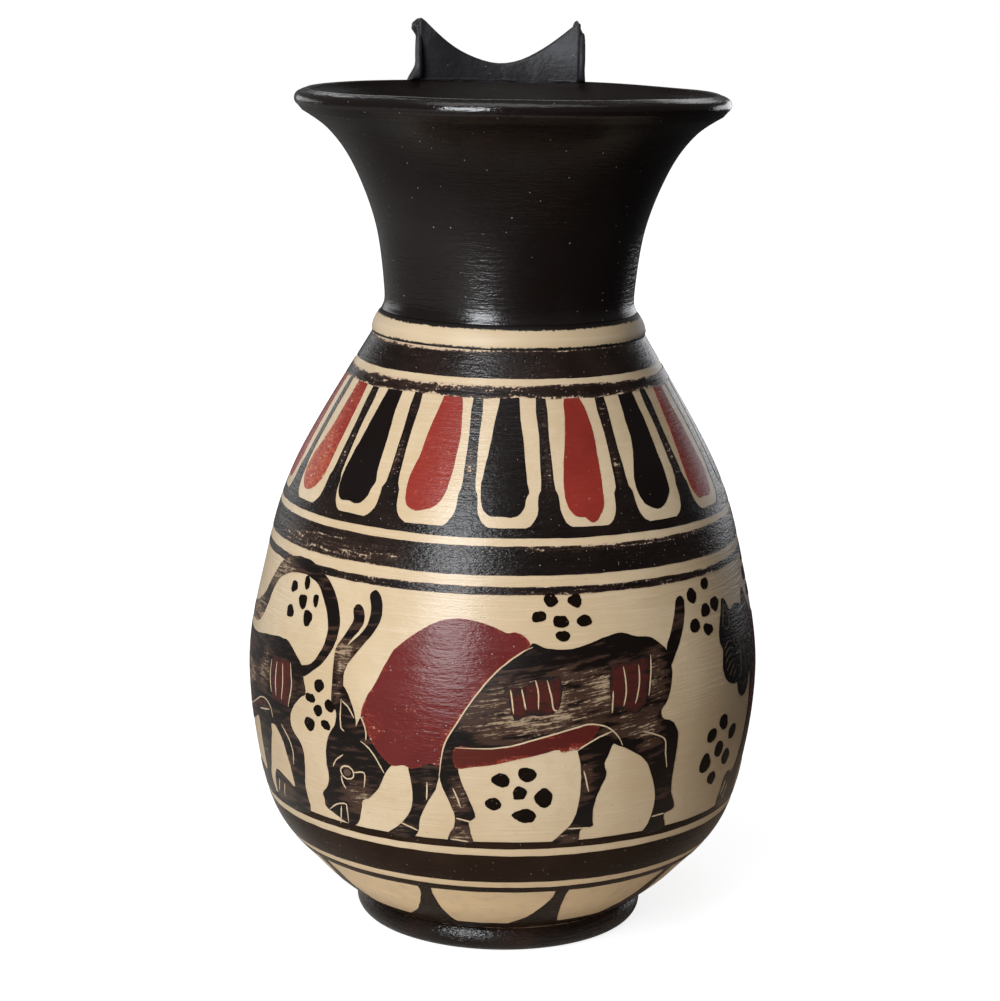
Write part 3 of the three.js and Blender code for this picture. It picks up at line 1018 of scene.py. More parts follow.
make_foot()
make_body()
make_collar_ring()
make_neck()
make_strap()
make_luting()
make_rotelle("rotelle_disc_left", -1, "rotelle_left")
make_rotelle("rotelle_disc_right", 1, "rotelle_right")


# Painted bands right round the pot

def paint_band(name, low, high, slip, seed, coat=BAND_COAT, rough=0.14, rim=0.5, **wear):
    skin = bmesh.new()
    band(skin, low, high, rough, rim, seed)
    lay_skin(name, skin, slip, coat, **wear)


def paint_bands():
    paint_band(
        "band_under_collar", 159.7, 166.6, band_slip, seed=1, rough=0.1, rim=0.6, base_thin=0.05,
        rim_thin=0.2,
        thin_spots=[(-62, 166.5, 75, 1.3, 0.5), (0, 166.6, 460, 1, 0.3), (-75, 163.6, 50, 4, 0.15)],
    )
    paint_band(
        "band_over_tongues", 154.9, 158.0, worn_slip, seed=2, coat=SECOND_COAT, rough=0.25, rim=0.8,
        base_thin=0.14, rim_thin=0.6, thin_spots=[(-45, 157.4, 70, 1.8, 0.3)],
    )
    paint_band(
        "band_wide_upper", 112.1, 119.4, band_slip, seed=4, base_thin=0.12, rim_thin=0.3,
        thin_spots=[(-65, 114.5, 45, 5, 0.35), (40, 118.8, 70, 1.4, 0.3), (75, 114, 30, 4, 0.15)],
    )
    paint_band("band_thin_upper", 107.2, 109.2, band_slip, seed=5, rough=0.2, base_thin=0.25, rim_thin=0.35)
    paint_band("band_ground_line", 39.0, 41.0, brown_slip, seed=6, rim_thin=0.1)
    paint_band("band_wide_lower", 28.1, 36.8, brown_slip, seed=7, rim_thin=0.08)
    paint_band("band_thin_lower", 24.2, 26.0, brown_slip, seed=8, rough=0.12, rim_thin=0.08)
    paint_band("band_heel", 7.5, 10.1, brown_slip, seed=9)


# Tongue zone: black ground with cream tongues left open, and a drop in each

SEEN_BARS = [-94, -69, -44, -17.5, 8, 34, 60.5, 87]
BAR_COUNT = 17
BAR_HALF = 1.85
BAR_MIDDLE = 140
TONGUE_BASE = 121.3
TONGUE_FOOT = 123.8

# A bar's side from the top down: how much wider than its half, how much of its own flare, and the height
BAR_SIDE = [
    (0, 0, 156.2), (0, 0, 146), (0.2, 0, 138), (0.5, 0, 133), (0.9, 1, 131.5), (1.1, 1, 128.5),
    (1.9, 1, 126.2), (3.6, 1, 124.4), (5.5, 1, 123.4),
]
# Where the bars are worn: the height, its reach, and how thin
BAR_WEAR = [(138, 9, 0.45), (150, 7, 0.25)]


# The places that are seen, and as many more as fill the rest of the way round
def filled_round(seen, count):
    unseen = count - len(seen) + 1
    gap = 2 * HALF_ROUND - (seen[-1] - seen[0])
    return seen + [seen[-1] + gap * step / unseen for step in range(1, unseen)]


def wrapped(walked):
    return (walked + HALF_ROUND) % (2 * HALF_ROUND) - HALF_ROUND


def set_beside(points, place):
    return [(x + place, z) for x, z in points]


def paint_tongues():
    skin = bmesh.new()
    band(skin, TONGUE_BASE, TONGUE_FOOT, seed=3)
    bars = filled_round(SEEN_BARS, BAR_COUNT)
    for number, centre in enumerate(bars):
        middle = wrapped(centre)
        half = BAR_HALF + 0.25 * wave(number * 2.3, 0, 0)
        flare = 0.5 + 0.5 * wave(number * 1.9, 3, 0)
        lean = 0.8 * wave(number * 3.7, 1, 0) / 20
        side = [(half + wider + flare * flared, z) for wider, flared, z in BAR_SIDE]
        right = [(middle + x + lean * (z - BAR_MIDDLE), z) for x, z in side]
        left = [(middle - x + lean * (z - BAR_MIDDLE), z) for x, z in side]
        fill_outline(skin, right + left[::-1], steps=2, rough=0.2, seed=number)
    worn = [(centre, height, 2.5, reach, thin) for height, reach, thin in BAR_WEAR for centre in bars]
    lay_skin("tongue_ground", skin, band_slip, GROUND_COAT, base_thin=0.05, thin_spots=worn)


# Drops, measured from the middle of their tongue: the left edge from the top down, then the right edge
RED_DROP_A = [
    (-0.6, 156.4), (-1.7, 155.6), (-2.2, 153.5), (-3.5, 150), (-4.8, 145), (-5.7, 140), (-7.2, 136),
    (-7.6, 132.5), (-7.2, 129.5), (-6, 127.7), (-3, 126.9), (0.5, 127.4), (3.5, 128.7), (5.5, 131.5),
    (6.7, 136), (7.5, 141), (7.9, 146), (7.2, 150.5), (6.4, 154.5), (4.8, 156.3), (2, 156.8),
]
BLACK_DROP_A = [
    (-3.2, 156.5), (-4.7, 152.5), (-5.9, 148), (-6.9, 143), (-8.2, 137.5), (-8.9, 133), (-8.6, 129.8),
    (-7.4, 127.7), (-5.4, 126.6), (-2.4, 126.7), (0.6, 126.4), (3.1, 127), (4.8, 128.8), (5.5, 131),
    (6.4, 132.7), (5.9, 135), (5.4, 140), (4.9, 145), (4.1, 150), (3.4, 156.5),
]
RED_DROP_B = [
    (-2.5, 155), (-0.5, 155.9), (2.5, 155.6), (4.5, 154), (6, 150), (6.4, 146), (6.1, 141), (5.7, 136),
    (5.3, 132), (4.7, 128.5), (3.2, 126.5), (1.5, 125.1), (-0.2, 124.9), (-1.8, 126.2), (-4.5, 126.5),
    (-6.4, 128), (-7.5, 130.3), (-7.8, 133.5), (-7.1, 138), (-6.1, 142), (-4.8, 146.5), (-3.9, 150.5),
    (-3.6, 153.5),
]
BLACK_DROP_B = [
    (-2, 156.5), (-3.2, 151.5), (-3.7, 148.3), (-3.8, 144.8), (-5, 141), (-6.8, 137.3), (-8, 134.3),
    (-8.1, 131.5), (-7, 129), (-4.8, 127.3), (-1.8, 126.5), (1.2, 127), (4, 128.7), (5.8, 130.8),
    (6.3, 134), (6.4, 140), (6.5, 146), (6.2, 151), (4.8, 156.5),
]
RED_DROPS = {-81.5: BLACK_DROP_B, -30.5: RED_DROP_A, 21: RED_DROP_B, 73.8: BLACK_DROP_A}
BLACK_DROPS = {-56.7: BLACK_DROP_A, -4.6: BLACK_DROP_A, 47.3: BLACK_DROP_B}
FAR_DROPS = (BLACK_DROP_A, RED_DROP_A, BLACK_DROP_B)


def paint_drops():
    red = bmesh.new()
    black = bmesh.new()
    for number, (middle, shape) in enumerate(RED_DROPS.items()):
        fill_outline(red, set_beside(shape, middle), rough=0.2, seed=number)
    for number, (middle, shape) in enumerate(BLACK_DROPS.items()):
        fill_outline(black, set_beside(shape, middle), rough=0.2, seed=number + 20)
    bars = filled_round(SEEN_BARS, BAR_COUNT)
    bars.append(bars[0] + 2 * HALF_ROUND)
    unseen = bars[len(SEEN_BARS) - 1:]
    for number, (start, end) in enumerate(zip(unseen, unseen[1:])):
        middle = wrapped((start + end) / 2)
        shape = [(x * 0.95, z) for x, z in FAR_DROPS[number % 3]]
        fill_outline((black, red)[number % 2], set_beside(shape, middle), rough=0.2, seed=number + 40)
    # The red drops are lighter and more orange in patches, the leftmost one over most of its height
    lay_skin(
        "drops_red", red, red_slip, OVER_COAT, "red_slip", base_thin=0.02, rim_thin=0.08,
        thin_spots=[
            (-84, 134, 14, 14, 0.34), (-84, 150, 12, 10, 0.2), (-30, 138, 12, 14, 0.1),
            (74, 140, 14, 20, 0.08),
        ],
    )
    lay_skin("drops_black", black, figure_slip, FIGURE_COAT)


# Ray zone: black rays that stand on the heel, steep on the right and swept on the left
RAY_TOPS = [-29.8, 15.3]
RAY_COUNT = 10
RAY_SHAPE = [
    (2.2, 25), (1.9, 22.5), (2.2, 19), (3, 15), (4.3, 12), (6.4, 9.2), (-17.5, 9.2), (-13.5, 11.2),
    (-9, 13.5), (-6.2, 16), (-4, 18.7), (-2.4, 21.5), (-1.9, 25),
]


def paint_rays():
    skin = bmesh.new()
    for number, top in enumerate(filled_round(RAY_TOPS, RAY_COUNT)):
        fill_outline(skin, set_beside(RAY_SHAPE, wrapped(top)), rough=0.22, seed=number + 60)
    lay_skin("rays_black", skin, brown_slip, GROUND_COAT)


paint_bands()
paint_tongues()
paint_drops()
paint_rays()


# Animal frieze: a grazing bull with a red mane

BULL_HEAD = [
    (-53, 75.4), (-51.5, 72.5), (-52, 69), (-53.8, 66.5), (-55.4, 62.5), (-55.8, 57), (-55.4, 53.5),
    (-56.7, 50.5), (-58.6, 48.2), (-58.3, 46.4), (-58.4, 44.6), (-55, 43), (-51.5, 41.5), (-48, 41),
    (-46.2, 43), (-45.2, 46), (-44.2, 49), (-41.5, 50.8), (-38.8, 53.8), (-37.2, 57), (-35.5, 59.8),
    (-34.5, 60.9), (-37, 63.5), (-40, 66), (-41.5, 68.5), (-42.2, 70.5), (-43.5, 72.8), (-44.7, 70.5),
    (-45, 69.5), (-45.3, 72.5), (-46.8, 76.3), (-49.3, 80), (-50.5, 79),
]
BULL_HORNS = [
    (-52.9, 74.5), (-53.2, 80), (-53.3, 86), (-53.2, 89.2), (-51.8, 91.7), (-49.5, 95.2), (-48.4, 97.6),
    (-49, 100.2), (-48.2, 101.4), (-46.9, 101.7), (-45.6, 100.4), (-45, 98), (-45.8, 95.6), (-48, 92.7),
    (-49.5, 90.6), (-48, 91.8), (-45, 95), (-43.4, 98), (-43.3, 101.5), (-44.2, 104.6), (-42.6, 105.9),
    (-41, 105), (-39.8, 102), (-39.8, 98.8), (-41.5, 95.2), (-45, 90.7), (-48.5, 86), (-49.6, 83),
    (-49.4, 79), (-50, 76),
]
BULL_MANE = [
    (-43.5, 72.8), (-42.2, 77.5), (-39.5, 82.3), (-37.2, 87.2), (-34.8, 91.5), (-31, 95), (-25, 99),
    (-19, 100.8), (-13, 100.5), (-7, 98.7), (-4.5, 97.7), (-2.5, 98), (0.2, 96.8), (1.6, 94.4),
    (-3.5, 90.9), (-7.5, 87.5), (-12.5, 81.3), (-17, 74), (-20, 68.5), (-21.3, 62.3), (-24, 62.6),
    (-29, 60.5), (-31, 61.2), (-34.5, 60.7), (-37.5, 63), (-41, 67.5),
]
BULL_BODY = [
    (-20.2, 68), (-16.8, 74), (-12.3, 81.3), (-7.3, 87.5), (-3.2, 91), (1.4, 94.2), (2.5, 95.2),
    (5, 94.1), (8.5, 93.5), (13, 93.5), (18, 94.6), (23, 96.1), (27, 96.7), (32, 95.2), (36, 94.7),
    (38.4, 93.2), (41.4, 90), (42.3, 86), (42, 82), (40.4, 77.6), (38.4, 75.2), (38.7, 73.2),
    (42.5, 71.2), (44.4, 68), (44.5, 63), (44.1, 57), (44.6, 51), (46.8, 46.8), (46.3, 45.7),
    (43.3, 44.8), (44.6, 40.6), (36.6, 40.6), (38, 43), (39.1, 48), (38.4, 53), (36.3, 58), (34.5, 61.5),
    (31, 64.4), (25.5, 67.2), (24, 67.8), (22.8, 65), (21.9, 62.5), (22.6, 59), (21.5, 56.5),
    (19.9, 51.5), (19.9, 46.5), (20.2, 45), (16.6, 44), (16.3, 40.6), (9, 40.6), (11, 43), (13.5, 45.4),
    (15.1, 49), (15.7, 57), (15.2, 63), (14, 68), (13.8, 72.7), (9, 71.6), (3, 70), (-3, 68.3),
    (-8, 67.5), (-14, 67.2),
]
BULL_LEG_FAR = [
    (-29.6, 62), (-29.1, 56), (-29.3, 50), (-31.5, 46), (-34.5, 43), (-37.3, 40.6), (-30, 40.6),
    (-28, 42.8), (-27.6, 45.5), (-25.5, 50.5), (-22.6, 55.5), (-21.6, 60), (-21.5, 63),
]
BULL_LEG_NEAR = [
    (-20.2, 69), (-21.1, 63), (-21.2, 58), (-19, 52.3), (-17.5, 48), (-17.9, 45), (-19, 43),
    (-19.8, 40.6), (-12.8, 40.6), (-13.3, 43.5), (-13.8, 46.6), (-12.1, 48.2), (-13.6, 53),
    (-15.5, 57.5), (-16.6, 62), (-16.8, 67.6),
]
BELLY_STRIP = [
    (-17.5, 67.5), (-17.2, 62), (-12, 62.6), (-7, 63.3), (-2, 64.7), (4, 66), (9.5, 67.2), (10, 66.4),
    (13, 67), (14.3, 67), (17.6, 69), (20, 73.2), (16, 73.4), (9, 71.8), (3, 70.2), (-3, 68.5),
    (-10, 67.6),
]
TAIL = [
    (41.2, 91), (43.5, 95), (46, 101), (46.8, 103), (48.4, 103.7), (49.8, 102.4), (48.9, 97.8),
    (46.8, 93.3), (44.4, 89.5), (42, 86.5),
]
RIB_PATCH_FRONT = [
    (-3.6, 83.6), (-0.5, 84), (2.7, 85.6), (8, 86.8), (9.6, 86), (9.8, 81.6), (8.8, 77.8), (4.4, 76.4),
    (1.4, 76.8), (-2.2, 75.4),
]
RIB_PATCH_BACK = [
    (23.4, 88), (26, 88.6), (31, 89.6), (35.3, 90), (34.9, 83), (33.6, 78), (30.6, 75.4), (26.6, 76.8),
    (23.9, 77.4),
]

# Scratched lines
BULL_SCRATCHES = [
    [
        (2.3, 94.2), (0, 93.2), (-4, 90.5), (-7.5, 87.5), (-12.5, 81.3), (-17, 74), (-20, 68.3),
        (-21, 63.5), (-21.5, 59),
    ],
    [
        (-17.3, 67.5), (-8, 67.7), (-3, 68.5), (3, 70.2), (9, 71.8), (14, 73.1), (17, 73.7), (22, 72.6),
        (25.5, 69.5), (26.7, 67),
    ],
    [(14.3, 66.8), (17, 68.5), (20, 70), (23.8, 71.3)], [(-3.4, 83.4), (-2.5, 77.1)],
    [(-0.6, 83.6), (0.6, 78.2)], [(2.9, 85.8), (3.6, 83), (3.8, 78.2)],
    [(6, 85.7), (7, 82), (7.8, 78), (8.7, 77.8)], [(27, 88), (27.5, 84), (27.3, 80), (26.7, 77.7)],
    [(31.6, 88), (31.6, 84), (30.8, 80), (30.2, 78)], [(35.6, 90), (35.2, 85), (34.3, 79.5)],
    [(23.8, 82), (23.4, 76.2)],
    [(32.8, 70.1), (36, 69), (39, 67.7), (40.2, 66.5), (40.7, 63), (41.6, 58.8)],
    [(-24.8, 57.3), (-25.1, 52.3)], [(-18, 56.3), (-16.8, 53.5), (-15.9, 50.8)],
    [(16.2, 61), (17, 58.5), (18, 55)], [(-17.2, 47.7), (-13, 46.8)], [(-33, 44.7), (-28, 43)],
    [(-19, 41.5), (-14, 41)], [(13, 44.7), (19.6, 44.5)], [(38.8, 45), (43.3, 45.1)],
]
HEAD_SCRATCHES = [
    [(-43.6, 66), (-41, 64.3), (-39.5, 62.5), (-38, 60.2), (-36.8, 58.2)],
    [(-44.7, 70.5), (-43.6, 72.6), (-42.3, 70.5), (-41.8, 68), (-42, 66.5)],
    [(-49.8, 76.5), (-50, 70), (-49.8, 68.5), (-48.8, 67.8)], [(-49.5, 76), (-47.3, 74.5), (-45.5, 72)],
    [(-50.8, 55), (-50.5, 53), (-49.5, 51.5)], [(-46.6, 56.7), (-43, 57.2), (-43.4, 53)],
    [(-53.5, 57), (-52.3, 59), (-49.6, 61.2)],
    [(-56.7, 44), (-54.5, 45.6), (-52, 46.7), (-50.3, 46.8), (-50, 45), (-50.2, 41.5)],
    [(-52, 46), (-53.3, 40.6)],
]
EYE = (-48.6, 56.3)
EYE_SIZE = (2.2, 1.8)
PUPIL_SIZE = (1.3, 1.0)


def oval(centre, reach, count=10):
    points = []
    for index in range(count):
        angle = FULL_TURN * index / count
        points.append((centre[0] + reach[0] * math.cos(angle), centre[1] + reach[1] * math.sin(angle)))
    return points


def draw_eye(skin, centre, reach, width, seed):
    points = oval(centre, reach)
    draw_line(skin, [*points, points[0]], width, taper=1.0, seed=seed)


def paint_shapes(name, outlines, slip, coat, seed, slot="black_slip", rough=0.16, **wear):
    skin = bmesh.new()
    for step, outline in enumerate(outlines):
        fill_outline(skin, outline, rough=rough, seed=seed + step)
    lay_skin(name, skin, slip, coat, slot, **wear)


def paint_bull():
    paint_shapes(
        "bull_head_and_legs", [BULL_HEAD, BULL_LEG_FAR, BULL_LEG_NEAR, TAIL], scrubbed_slip, FIGURE_COAT, 71,
        base_thin=0.3,
        thin_spots=[
            (-16.5, 54, 4, 10, 0.4), (-16, 43, 5, 4, 0.5), (-45, 51, 8, 9, 0.45), (-24.5, 55, 3, 8, 0.35),
            (-33, 43.5, 6, 3, 0.4), (46, 97, 4, 8, 0.1),
        ],
    )
    paint_shapes(
        "bull_horns", [BULL_HORNS], scrubbed_slip, LIMB_COAT, 75, base_thin=0.25,
        thin_spots=[(-50.5, 88, 5, 6, 0.75), (-51.5, 80, 3, 8, 0.5), (-46, 92.5, 5, 4, 0.4)],
    )
    paint_shapes(
        "bull_body", [BULL_BODY], scrubbed_slip, BODY_COAT, 76, base_thin=0.12,
        thin_spots=[
            (-5, 78, 21, 15, 0.58), (13, 81, 18, 13, 0.55), (2, 73, 24, 5, 0.15), (26, 84, 12, 11, 0.4),
            (37.5, 84, 6, 13, 0.6), (30, 72.5, 11, 6, 0.6), (16.5, 57, 4.5, 13, 0.5), (36, 66, 6, 8, 0.5),
            (41, 52, 3, 10, 0.25), (13, 42.5, 6, 3, 0.6),
        ],
    )
    paint_shapes(
        "bull_mane", [BULL_MANE], maroon_slip, MANE_COAT, 77, "red_slip", base_thin=0.04, rim_thin=0.3,
        thin_spots=[(-27, 73, 14, 12, 0.14), (0.5, 96.5, 4, 3.4, 0.15), (-41, 72, 4, 9, 0.25)],
    )
    paint_shapes(
        "bull_belly_strip", [BELLY_STRIP], strip_slip, SECOND_COAT, 78, "red_slip", base_thin=0.02,
        rim_thin=0.3, thin_spots=[(0, 62.6, 20, 3.4, 0.4), (14, 67, 6, 3, 0.4)],
    )
    paint_shapes(
        "bull_rib_patches", [RIB_PATCH_FRONT, RIB_PATCH_BACK], rib_slip, SECOND_COAT, 79, "red_slip",
        base_thin=0.3, rim_thin=0.6,
    )
    paint_shapes(
        "bull_pupil", [oval(EYE, PUPIL_SIZE)], rubbed_clay, SECOND_COAT, 51, "cream_slip", rough=0.2,
    )
    lines = bmesh.new()
    for number, points in enumerate(BULL_SCRATCHES + HEAD_SCRATCHES):
        draw_line(lines, points, 0.38, seed=number)
    draw_eye(lines, EYE, EYE_SIZE, 0.4, 50)
    lay_skin("bull_scratches", lines, scratch_slip, SCRATCH_COAT, "cream_slip")


# Two panthers walk to the left beside the bull, one on each side. Here round is measured from the left
# side of the face, which stands at these places

PANTHER_PLACES = [-185, 63.6]
PANTHER_BODY = [
    (24, 95.5), (28.5, 92.6), (36, 90), (48, 87.6), (62, 85.8), (76, 84.4), (90, 84.8), (97, 86),
    (103, 86.9), (108, 87.5), (112, 87.3), (116.5, 84.7), (119.7, 82.2), (121, 78.5), (122, 75.2),
    (120, 73.8), (117, 71), (114.8, 66.5), (115.5, 64), (119.3, 60.3), (120, 57), (119.6, 53),
    (118.7, 48), (119, 40.6), (100, 40.6), (100.6, 46), (103, 49), (109, 47.8), (113.2, 46.6), (113, 50),
    (112, 54), (110.2, 58.5), (106.5, 62.3), (103.4, 62.2), (103, 59.5), (101.5, 56), (99, 50),
    (96.5, 45), (97.5, 40.6), (79, 40.6), (79.8, 44.5), (82.5, 46.8), (88, 46.4), (92.8, 45.8),
    (93.6, 50), (93.2, 56), (92.6, 61.5), (84, 58.6), (72, 56.6), (58, 55.8), (49.5, 57), (47.5, 52),
    (46.2, 47), (46.8, 40.6), (29, 40.6), (29.6, 44.8), (32.5, 47.2), (37, 46.6), (39.8, 46), (39.4, 51),
    (37.6, 57), (34.8, 60.5), (30, 57), (26.2, 52), (22.4, 47.5), (21.8, 43.5), (22.2, 40.6),
    (6.4, 40.6), (6.6, 45), (7.6, 49), (9.8, 50.3), (13.2, 49.4), (15.6, 50.8), (17.6, 55), (19.4, 60.5),
    (20.4, 66), (20.2, 72), (20.6, 80),
]
PANTHER_HEAD = [
    (4.9, 99.8), (3.4, 97.5), (1.4, 94), (0, 90.5), (0, 88.5), (1.2, 86.7), (0.6, 84), (0.4, 81),
    (1.4, 78.8), (3.4, 77.2), (6.4, 76.2), (8.4, 76), (9.2, 73.7), (10.9, 71.8), (13.2, 71.1),
    (15.9, 71.9), (17.6, 73.8), (18.4, 76.2), (22, 77.2), (25.4, 79.4), (26.4, 83.2), (25.6, 86.8),
    (27.2, 89.4), (26.8, 92), (25.2, 95.4), (22.8, 99.4), (20.4, 97.8), (18.8, 95.8), (13.6, 96.9),
    (8.4, 96), (6.8, 98.4),
]
PANTHER_TAIL = [
    (120.3, 79.6), (124, 81.8), (127, 84), (129.5, 87), (131.2, 90.5), (132, 94), (131.7, 97),
    (130, 101), (127.5, 104.3), (124.5, 106.6), (118, 109.3), (113, 109.8), (108, 109.5), (104, 108.4),
    (99.5, 106.5), (96.5, 103.5), (93.5, 100), (91, 96.5), (87, 94), (82, 91.9), (78, 91.4),
    (75.6, 89.6), (77.4, 87.3), (83, 87.2), (88, 87.6), (91, 88.8), (93.5, 91.5), (95.5, 95), (97, 98.5),
    (99.5, 101.5), (103, 103.5), (107, 104.8), (115, 105.7), (118.5, 105.2), (121.5, 104), (124, 101.5),
    (126.3, 98.3), (127.7, 95), (127.9, 91), (126.7, 88), (125, 85.3), (122.5, 83.2), (119, 82),
]
PANTHER_NECK = [
    (26.6, 91.8), (33, 90.2), (39, 88.2), (43.5, 84), (45.4, 77), (44.6, 69), (41, 62.8), (36, 61.5),
    (30, 60.2), (24, 60), (21.6, 64), (21.4, 71), (24.6, 77.6), (27.2, 82.8), (26.4, 87),
]
PANTHER_THIGH = [
    (105, 81.6), (110, 82), (115, 82), (115.4, 76), (114.4, 70.2), (109, 69.8), (105, 71), (104.4, 76),
]
PANTHER_BELLY = [
    (48.5, 58.6), (60, 58), (72, 58.8), (84, 61), (93, 64.4), (98.5, 66.6), (97, 68.2), (90, 65.8),
    (80, 62.8), (68, 61), (56, 60.6), (47.5, 61.4),
]
PANTHER_SCRATCHES = [
    [(27.8, 92.6), (36, 89.4), (42.5, 85), (46, 77.5), (45.4, 69), (41.6, 62), (38.2, 58)],
    [
        (47.6, 61.6), (56, 60.8), (68, 61.2), (83, 62.8), (90, 65.3), (97, 68.2), (101, 68.6), (104, 67),
        (105, 64.5),
    ],
    [(95, 64.5), (103, 66.2)], [(110, 64), (113.5, 60.5), (115, 57), (114.5, 53.5)],
    [(104.4, 80.6), (104.2, 75), (105, 71.6)], [(107.6, 80.8), (107.4, 76), (107.8, 71.4)],
    [(110.8, 81), (111.4, 76), (110.8, 71)], [(114.6, 82), (115.8, 76), (114.2, 69.8)],
    [(54, 82), (55.4, 75), (55, 68)], [(59.5, 82), (61, 75), (60.4, 68)],
    [(65, 81.4), (66.4, 75), (65.8, 68.4)], [(40.6, 56.4), (42.4, 52), (42.6, 48)],
    [(24.6, 60), (22.4, 55), (19, 50.6)], [(7.2, 44), (9.2, 47.6)], [(9.6, 42.6), (11.4, 46.4)],
    [(30.4, 42), (32.4, 45.2)], [(33.6, 42), (35.2, 45)], [(80.6, 42), (82.4, 44.8)],
    [(84, 42), (85.6, 44.6)], [(101.8, 42.4), (103.8, 46.4)], [(105.4, 42.2), (107.2, 46)],
]
FACE_SCRATCHES = [
    [(2.6, 92.6), (3.8, 95.6), (5, 97.6), (6.4, 95.4), (6.6, 92.4), (4.6, 91.6), (2.6, 92.6)],
    [(20.6, 92.4), (20.8, 95.4), (22.4, 97.4), (24, 95.2), (24.8, 92.2), (22.6, 91.4), (20.6, 92.4)],
    [(2, 86.6), (4, 88), (6, 88.2)], [(1.8, 84.6), (4, 86.2), (6.2, 86.6)],
    [(1.8, 82.6), (4, 84.2), (6.2, 84.8)], [(2.4, 80.6), (4.4, 82.2), (6.4, 83)],
    [(3.8, 79), (5.4, 80.4), (7, 81.4)], [(5.8, 78), (7, 79.2), (8.2, 80)],
    [(24.8, 86.6), (23, 88), (21, 88.2)], [(25, 84.6), (22.8, 86.2), (20.8, 86.6)],
    [(25, 82.6), (22.8, 84.2), (20.6, 84.8)], [(24.2, 80.6), (22.2, 82.2), (20.4, 83)],
    [(22.6, 79), (21.2, 80.4), (19.6, 81.4)], [(20.6, 78), (19.6, 79.2), (18.4, 80)],
    [(12.4, 89.4), (12.2, 84), (11.4, 78.6), (10.2, 76.8)],
    [(14.6, 89.4), (14.8, 84), (15.6, 78.6), (16.8, 76.8)], [(11, 75.4), (13.4, 74.4), (16, 75.4)],
    [(8.2, 91.2), (10, 91.8), (12, 91)], [(15, 91), (17, 91.8), (18.8, 91.2)],
]
PANTHER_EYES = [(9.8, 87.4), (17.2, 87.4)]
PANTHER_EYE_SIZE = (1.7, 1.3)
PANTHER_WEAR = [
    (75, 73, 28, 9, 0.55), (100, 77, 6, 9, 0.45), (110, 55, 5, 8, 0.25), (97, 55, 4, 8, 0.3),
    (42, 50, 4, 6, 0.3), (108, 44, 8, 3, 0.25),
]
PANTHER_TAIL_WEAR = [(86, 90, 15, 9, 0.6), (100, 104, 15, 9, 0.6)]


def on_both(*outlines):
    return [set_beside(outline, place) for place in PANTHER_PLACES for outline in outlines]


def worn_on_both(spots):
    return [(place + spot[0], *spot[1:]) for place in PANTHER_PLACES for spot in spots]


def paint_panthers():
    paint_shapes(
        "panther_bodies", on_both(PANTHER_BODY), scrubbed_slip, FIGURE_COAT, 100, base_thin=0.38,
        thin_spots=worn_on_both(PANTHER_WEAR),
    )
    paint_shapes(
        "panther_tails", on_both(PANTHER_TAIL), scrubbed_slip, LIMB_COAT, 102, base_thin=0.3,
        thin_spots=worn_on_both(PANTHER_TAIL_WEAR),
    )
    paint_shapes("panther_heads", on_both(PANTHER_HEAD), figure_slip, OVER_COAT, 104, base_thin=0.06)
    paint_shapes(
        "panther_necks", on_both(PANTHER_NECK), maroon_slip, SECOND_COAT, 110, "red_slip", base_thin=0.15,
    )
    paint_shapes(
        "panther_red_touches", on_both(PANTHER_THIGH, PANTHER_BELLY), rib_slip, SECOND_COAT, 112, "red_slip",
        base_thin=0.25, rim_thin=0.4,
    )
    lines = bmesh.new()
    face_lines = bmesh.new()
    for number, place in enumerate(PANTHER_PLACES):
        for step, points in enumerate(PANTHER_SCRATCHES):
            draw_line(lines, set_beside(points, place), 0.36, seed=step + number * 40)
        for step, points in enumerate(FACE_SCRATCHES):
            draw_line(face_lines, set_beside(points, place), 0.3, seed=step + number * 30)
        for x, z in PANTHER_EYES:
            draw_eye(face_lines, (x + place, z), PANTHER_EYE_SIZE, 0.3, 60)
    lay_skin("panther_face_scratches", face_lines, rubbed_clay, SCRATCH_COAT, "cream_slip")
    lay_skin("panther_scratches", lines, scratch_slip, SCRATCH_COAT, "cream_slip")


# Dots in loose rosettes: (round, height, width, height of the dot)
DOTS = [
    (7.3, 106, 4, 3.7), (14.2, 105.5, 4, 3.8), (4.1, 101.8, 4, 3), (10, 100.5, 4.3, 3),
    (16.4, 100.4, 4.3, 3.2), (10.4, 96.9, 4, 3), (-5.8, 58.8, 5.2, 4.2), (1.5, 60.7, 4.6, 4.4),
    (-0.5, 55.5, 4.4, 4.8), (-7.2, 52.2, 4.5, 3.8), (5.8, 53.9, 5, 5.6), (1, 48.8, 6.6, 4),
    (-75, 101.7, 3.5, 3.6), (-68.8, 103.8, 2.8, 3.6), (-63.7, 100, 2.8, 4), (-69.3, 98.8, 4, 4),
    (-66, 95, 3.8, 4.4), (-74.7, 95.2, 4, 3.6), (-58, 78.4, 3.8, 3.6), (-61, 74.6, 4, 3),
    (-58, 71.8, 3.4, 3.4), (-53.7, 73.7, 3.6, 3), (-61.7, 67.2, 4.4, 4.2), (-55.3, 68, 3.6, 2.8),
    (53.2, 103, 4.6, 4), (60, 105, 4, 3), (58.5, 98.5, 4.2, 3.4), (63.8, 99.2, 4.4, 4), (53, 95, 4.8, 4),
    (58.5, 93.3, 4.4, 3.6), (65, 66.6, 4.6, 5), (59.3, 64, 4.6, 4.2), (64, 59, 4.4, 4.6),
    (57.6, 56.4, 5.4, 5), (71, 62.5, 5, 4), (69, 55.8, 4.8, 4.8), (62.4, 51, 5.2, 4.4),
]
